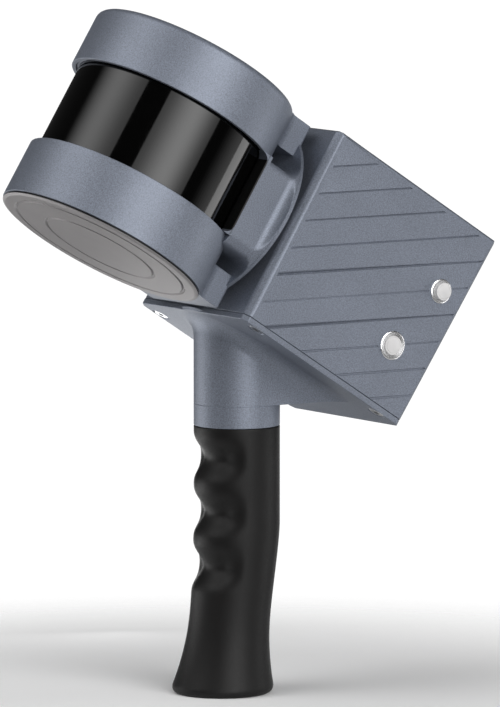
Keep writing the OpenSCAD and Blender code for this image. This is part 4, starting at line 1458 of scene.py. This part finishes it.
@dataclass(frozen=True)
class Softbox:
    """A curved softbox round the head: strips between two azimuths, brightest at a hot spot."""

    name: str
    start: float
    stop: float
    rise: float
    distance: float
    height: float
    radiance: float
    hot: float = 0.0
    first: float = 1.0
    last: float = 1.0
    strips: int = 1

    def build(self, target: Vector) -> None:
        """Hang the strips so that they face the target.

        Args:
            target: the middle of the head, in metres.
        """
        step = (self.stop - self.start) / self.strips
        for i in range(self.strips):
            azimuth = self.start + (i + 0.5) * step
            self.strip(f"{self.name}_{i}", azimuth, abs(step), self.share(azimuth), target)

    def share(self, azimuth: float) -> float:
        """Give the part of the radiance at one azimuth: all of it at the hot spot.

        Args:
            azimuth: in degrees from the head's front.
        Returns:
            A share between the one at the nearer end and 1.
        """
        if azimuth < self.hot:
            end, t = self.first, (azimuth - self.start) / (self.hot - self.start)
        else:
            end, t = self.last, (self.stop - azimuth) / max(self.stop - self.hot, 1e-6)
        return end + (1 - end) * smoothstep(t)

    def strip(self, name: str, azimuth: float, span: float, share: float, target: Vector) -> None:
        """Hang one strip.

        Args:
            name: its name.
            azimuth: its middle, in degrees from the head's front.
            span: how many degrees it spans.
            share: its part of the softbox's radiance.
            target: what it faces.
        """
        turn = AT.tilted().to_3x3() * 1000
        across, forward, up = turn.col[0], -turn.col[1], turn.col[2]
        a, e = math.radians(azimuth), math.radians(self.rise)
        towards = math.cos(e) * (math.sin(a) * across + math.cos(a) * forward) + math.sin(e) * up
        side = up.cross(towards).normalized()
        width = 2 * self.distance * math.cos(e) * math.tan(math.radians(span / 2))
        data = bpy.data.lights.new(name, "AREA")
        data.shape, data.size, data.size_y = "RECTANGLE", width, self.height
        data.energy = self.radiance * share * math.pi * width * self.height
        lamp = stood(name, data)
        pose = Matrix((side, towards.cross(side), towards)).transposed().to_4x4()
        lamp.matrix_world = Matrix.Translation(target + towards * self.distance) @ pose
        lamp.visible_camera = False


@dataclass
class Studio:
    """The camera, the lights, the floor and the air round them."""

    azimuth: float = 56.5
    rise: float = 6.3
    distance: float = 3.987
    lens: float = 407.4
    target: tuple[float, float, float] = (0, 0.0167, 0.169)
    boxes: tuple[Softbox, ...] = (
        Softbox("front_softbox", -46, 21.5, 11.7, 1.3, 1.5, 2.75, -11, 0.0, 0.35, 22),
        Softbox("side_softbox", 49, 113, 11.7, 1.35, 1.5, 4.5, 84, 0.25, 0.2, 22),
        Softbox("rim_softbox", 124, 152, 11.7, 0.7, 0.6, 0.72, 152, 0.0, 1.0, 8),
        Softbox("rim_strip", 152, 166, 11.7, 0.62, 0.45, 2.7),
        Softbox("back_strip", -162, -134, 11.7, 1.2, 1.1, 0.9),
        Softbox("low_softbox", -115, -45, -38, 1.1, 0.7, 2.9, -80, 1.0, 1.0, 2),
        Softbox("under_strip", -139, -124, -18.9, 0.351, 0.1, 2.6),
    )
    head: tuple[float, float, float] = (0, -0.043, 0.271)

    def camera(self) -> None:
        """Set the camera level, aimed at the middle of the scanner."""
        a, e = math.radians(self.azimuth), math.radians(self.rise)
        away = Vector((math.sin(a) * math.cos(e), -math.cos(a) * math.cos(e), math.sin(e)))
        data = bpy.data.cameras.new("camera")
        data.lens, data.sensor_width, data.sensor_fit = self.lens, 36, "AUTO"
        data.clip_end = 100
        made = stood("camera", data)
        spot = Vector(self.target) + away * self.distance
        turn = away.to_track_quat("Z", "Y").to_matrix().to_4x4()
        made.matrix_world = Matrix.Translation(spot) @ turn
        bpy.context.scene.camera = made

    def floor(self) -> None:
        """Lay a plain pale floor, which fades into the backdrop away from the grip."""
        bm = bmesh.new()
        bmesh.ops.create_grid(bm, x_segments=1, y_segments=1, size=0.6)
        mesh = bpy.data.meshes.new("floor")
        bm.to_mesh(mesh)
        bm.free()
        made = stood("floor", mesh)
        material = bpy.data.materials.new("pale floor")
        tree = fresh_tree(material)
        place = add(tree, "ShaderNodeTexCoord").outputs["Object"]
        lay = add(tree, "ShaderNodeMapping", {"Vector": place, "Scale": (1 / 0.4,) * 3})
        ball = add(tree, "ShaderNodeTexGradient", {0: lay.outputs[0]}, gradient_type="SPHERICAL")
        ease = {"Value": ball.outputs["Fac"], 1: 0.0, 2: 0.75, 3: 0.0, 4: 1.0}
        fade = add(tree, "ShaderNodeMapRange", ease, interpolation_type="SMOOTHSTEP")
        paper = add(tree, "ShaderNodeBsdfDiffuse", {"Color": linear("#fafafa")})
        clear = add(tree, "ShaderNodeBsdfTransparent")
        inputs = {0: fade.outputs["Result"], 1: clear.outputs[0], 2: paper.outputs[0]}
        mix = add(tree, "ShaderNodeMixShader", inputs)
        add(tree, "ShaderNodeOutputMaterial", {"Surface": mix.outputs[0]})
        mesh.materials.append(material)

    def air(self) -> None:
        """A white backdrop, and a dim fill that comes from all round."""
        world = bpy.data.worlds.new("studio")
        tree = fresh_tree(world)
        seen = add(tree, "ShaderNodeLightPath").outputs["Is Camera Ray"]
        fill = add(tree, "ShaderNodeBackground", {"Color": linear("#ffffff"), "Strength": 0.03})
        white = add(tree, "ShaderNodeBackground", {"Color": linear("#ffffff"), "Strength": 1.05})
        mix = add(tree, "ShaderNodeMixShader", {0: seen, 1: fill.outputs[0], 2: white.outputs[0]})
        add(tree, "ShaderNodeOutputWorld", {"Surface": mix.outputs[0]})
        bpy.context.scene.world = world

    def build(self) -> None:
        """Set up the studio."""
        bpy.context.scene.view_settings.view_transform = "Standard"
        self.camera()
        self.floor()
        self.air()
        for box in self.boxes:
            box.build(Vector(self.head))


def dress_frame() -> None:
    """Give every CAD node the finish of its slot."""
    for part in frame["record"]["subparts"]:
        piece = frame["nodes"][part["node"]]
        material = FINISHES[Slot(part["material_slot"])].material()
        if not piece.material_slots:
            piece.data.materials.append(material)
        for slot in piece.material_slots:
            slot.material = material
    LOG.info("dressed %d CAD nodes", len(frame["nodes"]))


def main() -> None:
    """Build the scanner, sub-assembly by sub-assembly."""
    logging.basicConfig(level=logging.INFO, format="%(message)s")
    dress_frame()
    Studio().build()
    parts = [
        Grip(),
        Neck(),
        Box(),
        Button("power", 84.3, 32.1, 7.3, 4.9, 0.3, Body.POWER),
        Button("record", 95.4, 69.3, 6.2, 4.5, 2.3, Body.RECORD),
        Head(),
    ]
    for part in parts:
        part.build()
        LOG.info("built %s", type(part).__name__)


if __name__ == "__main__":
    main()
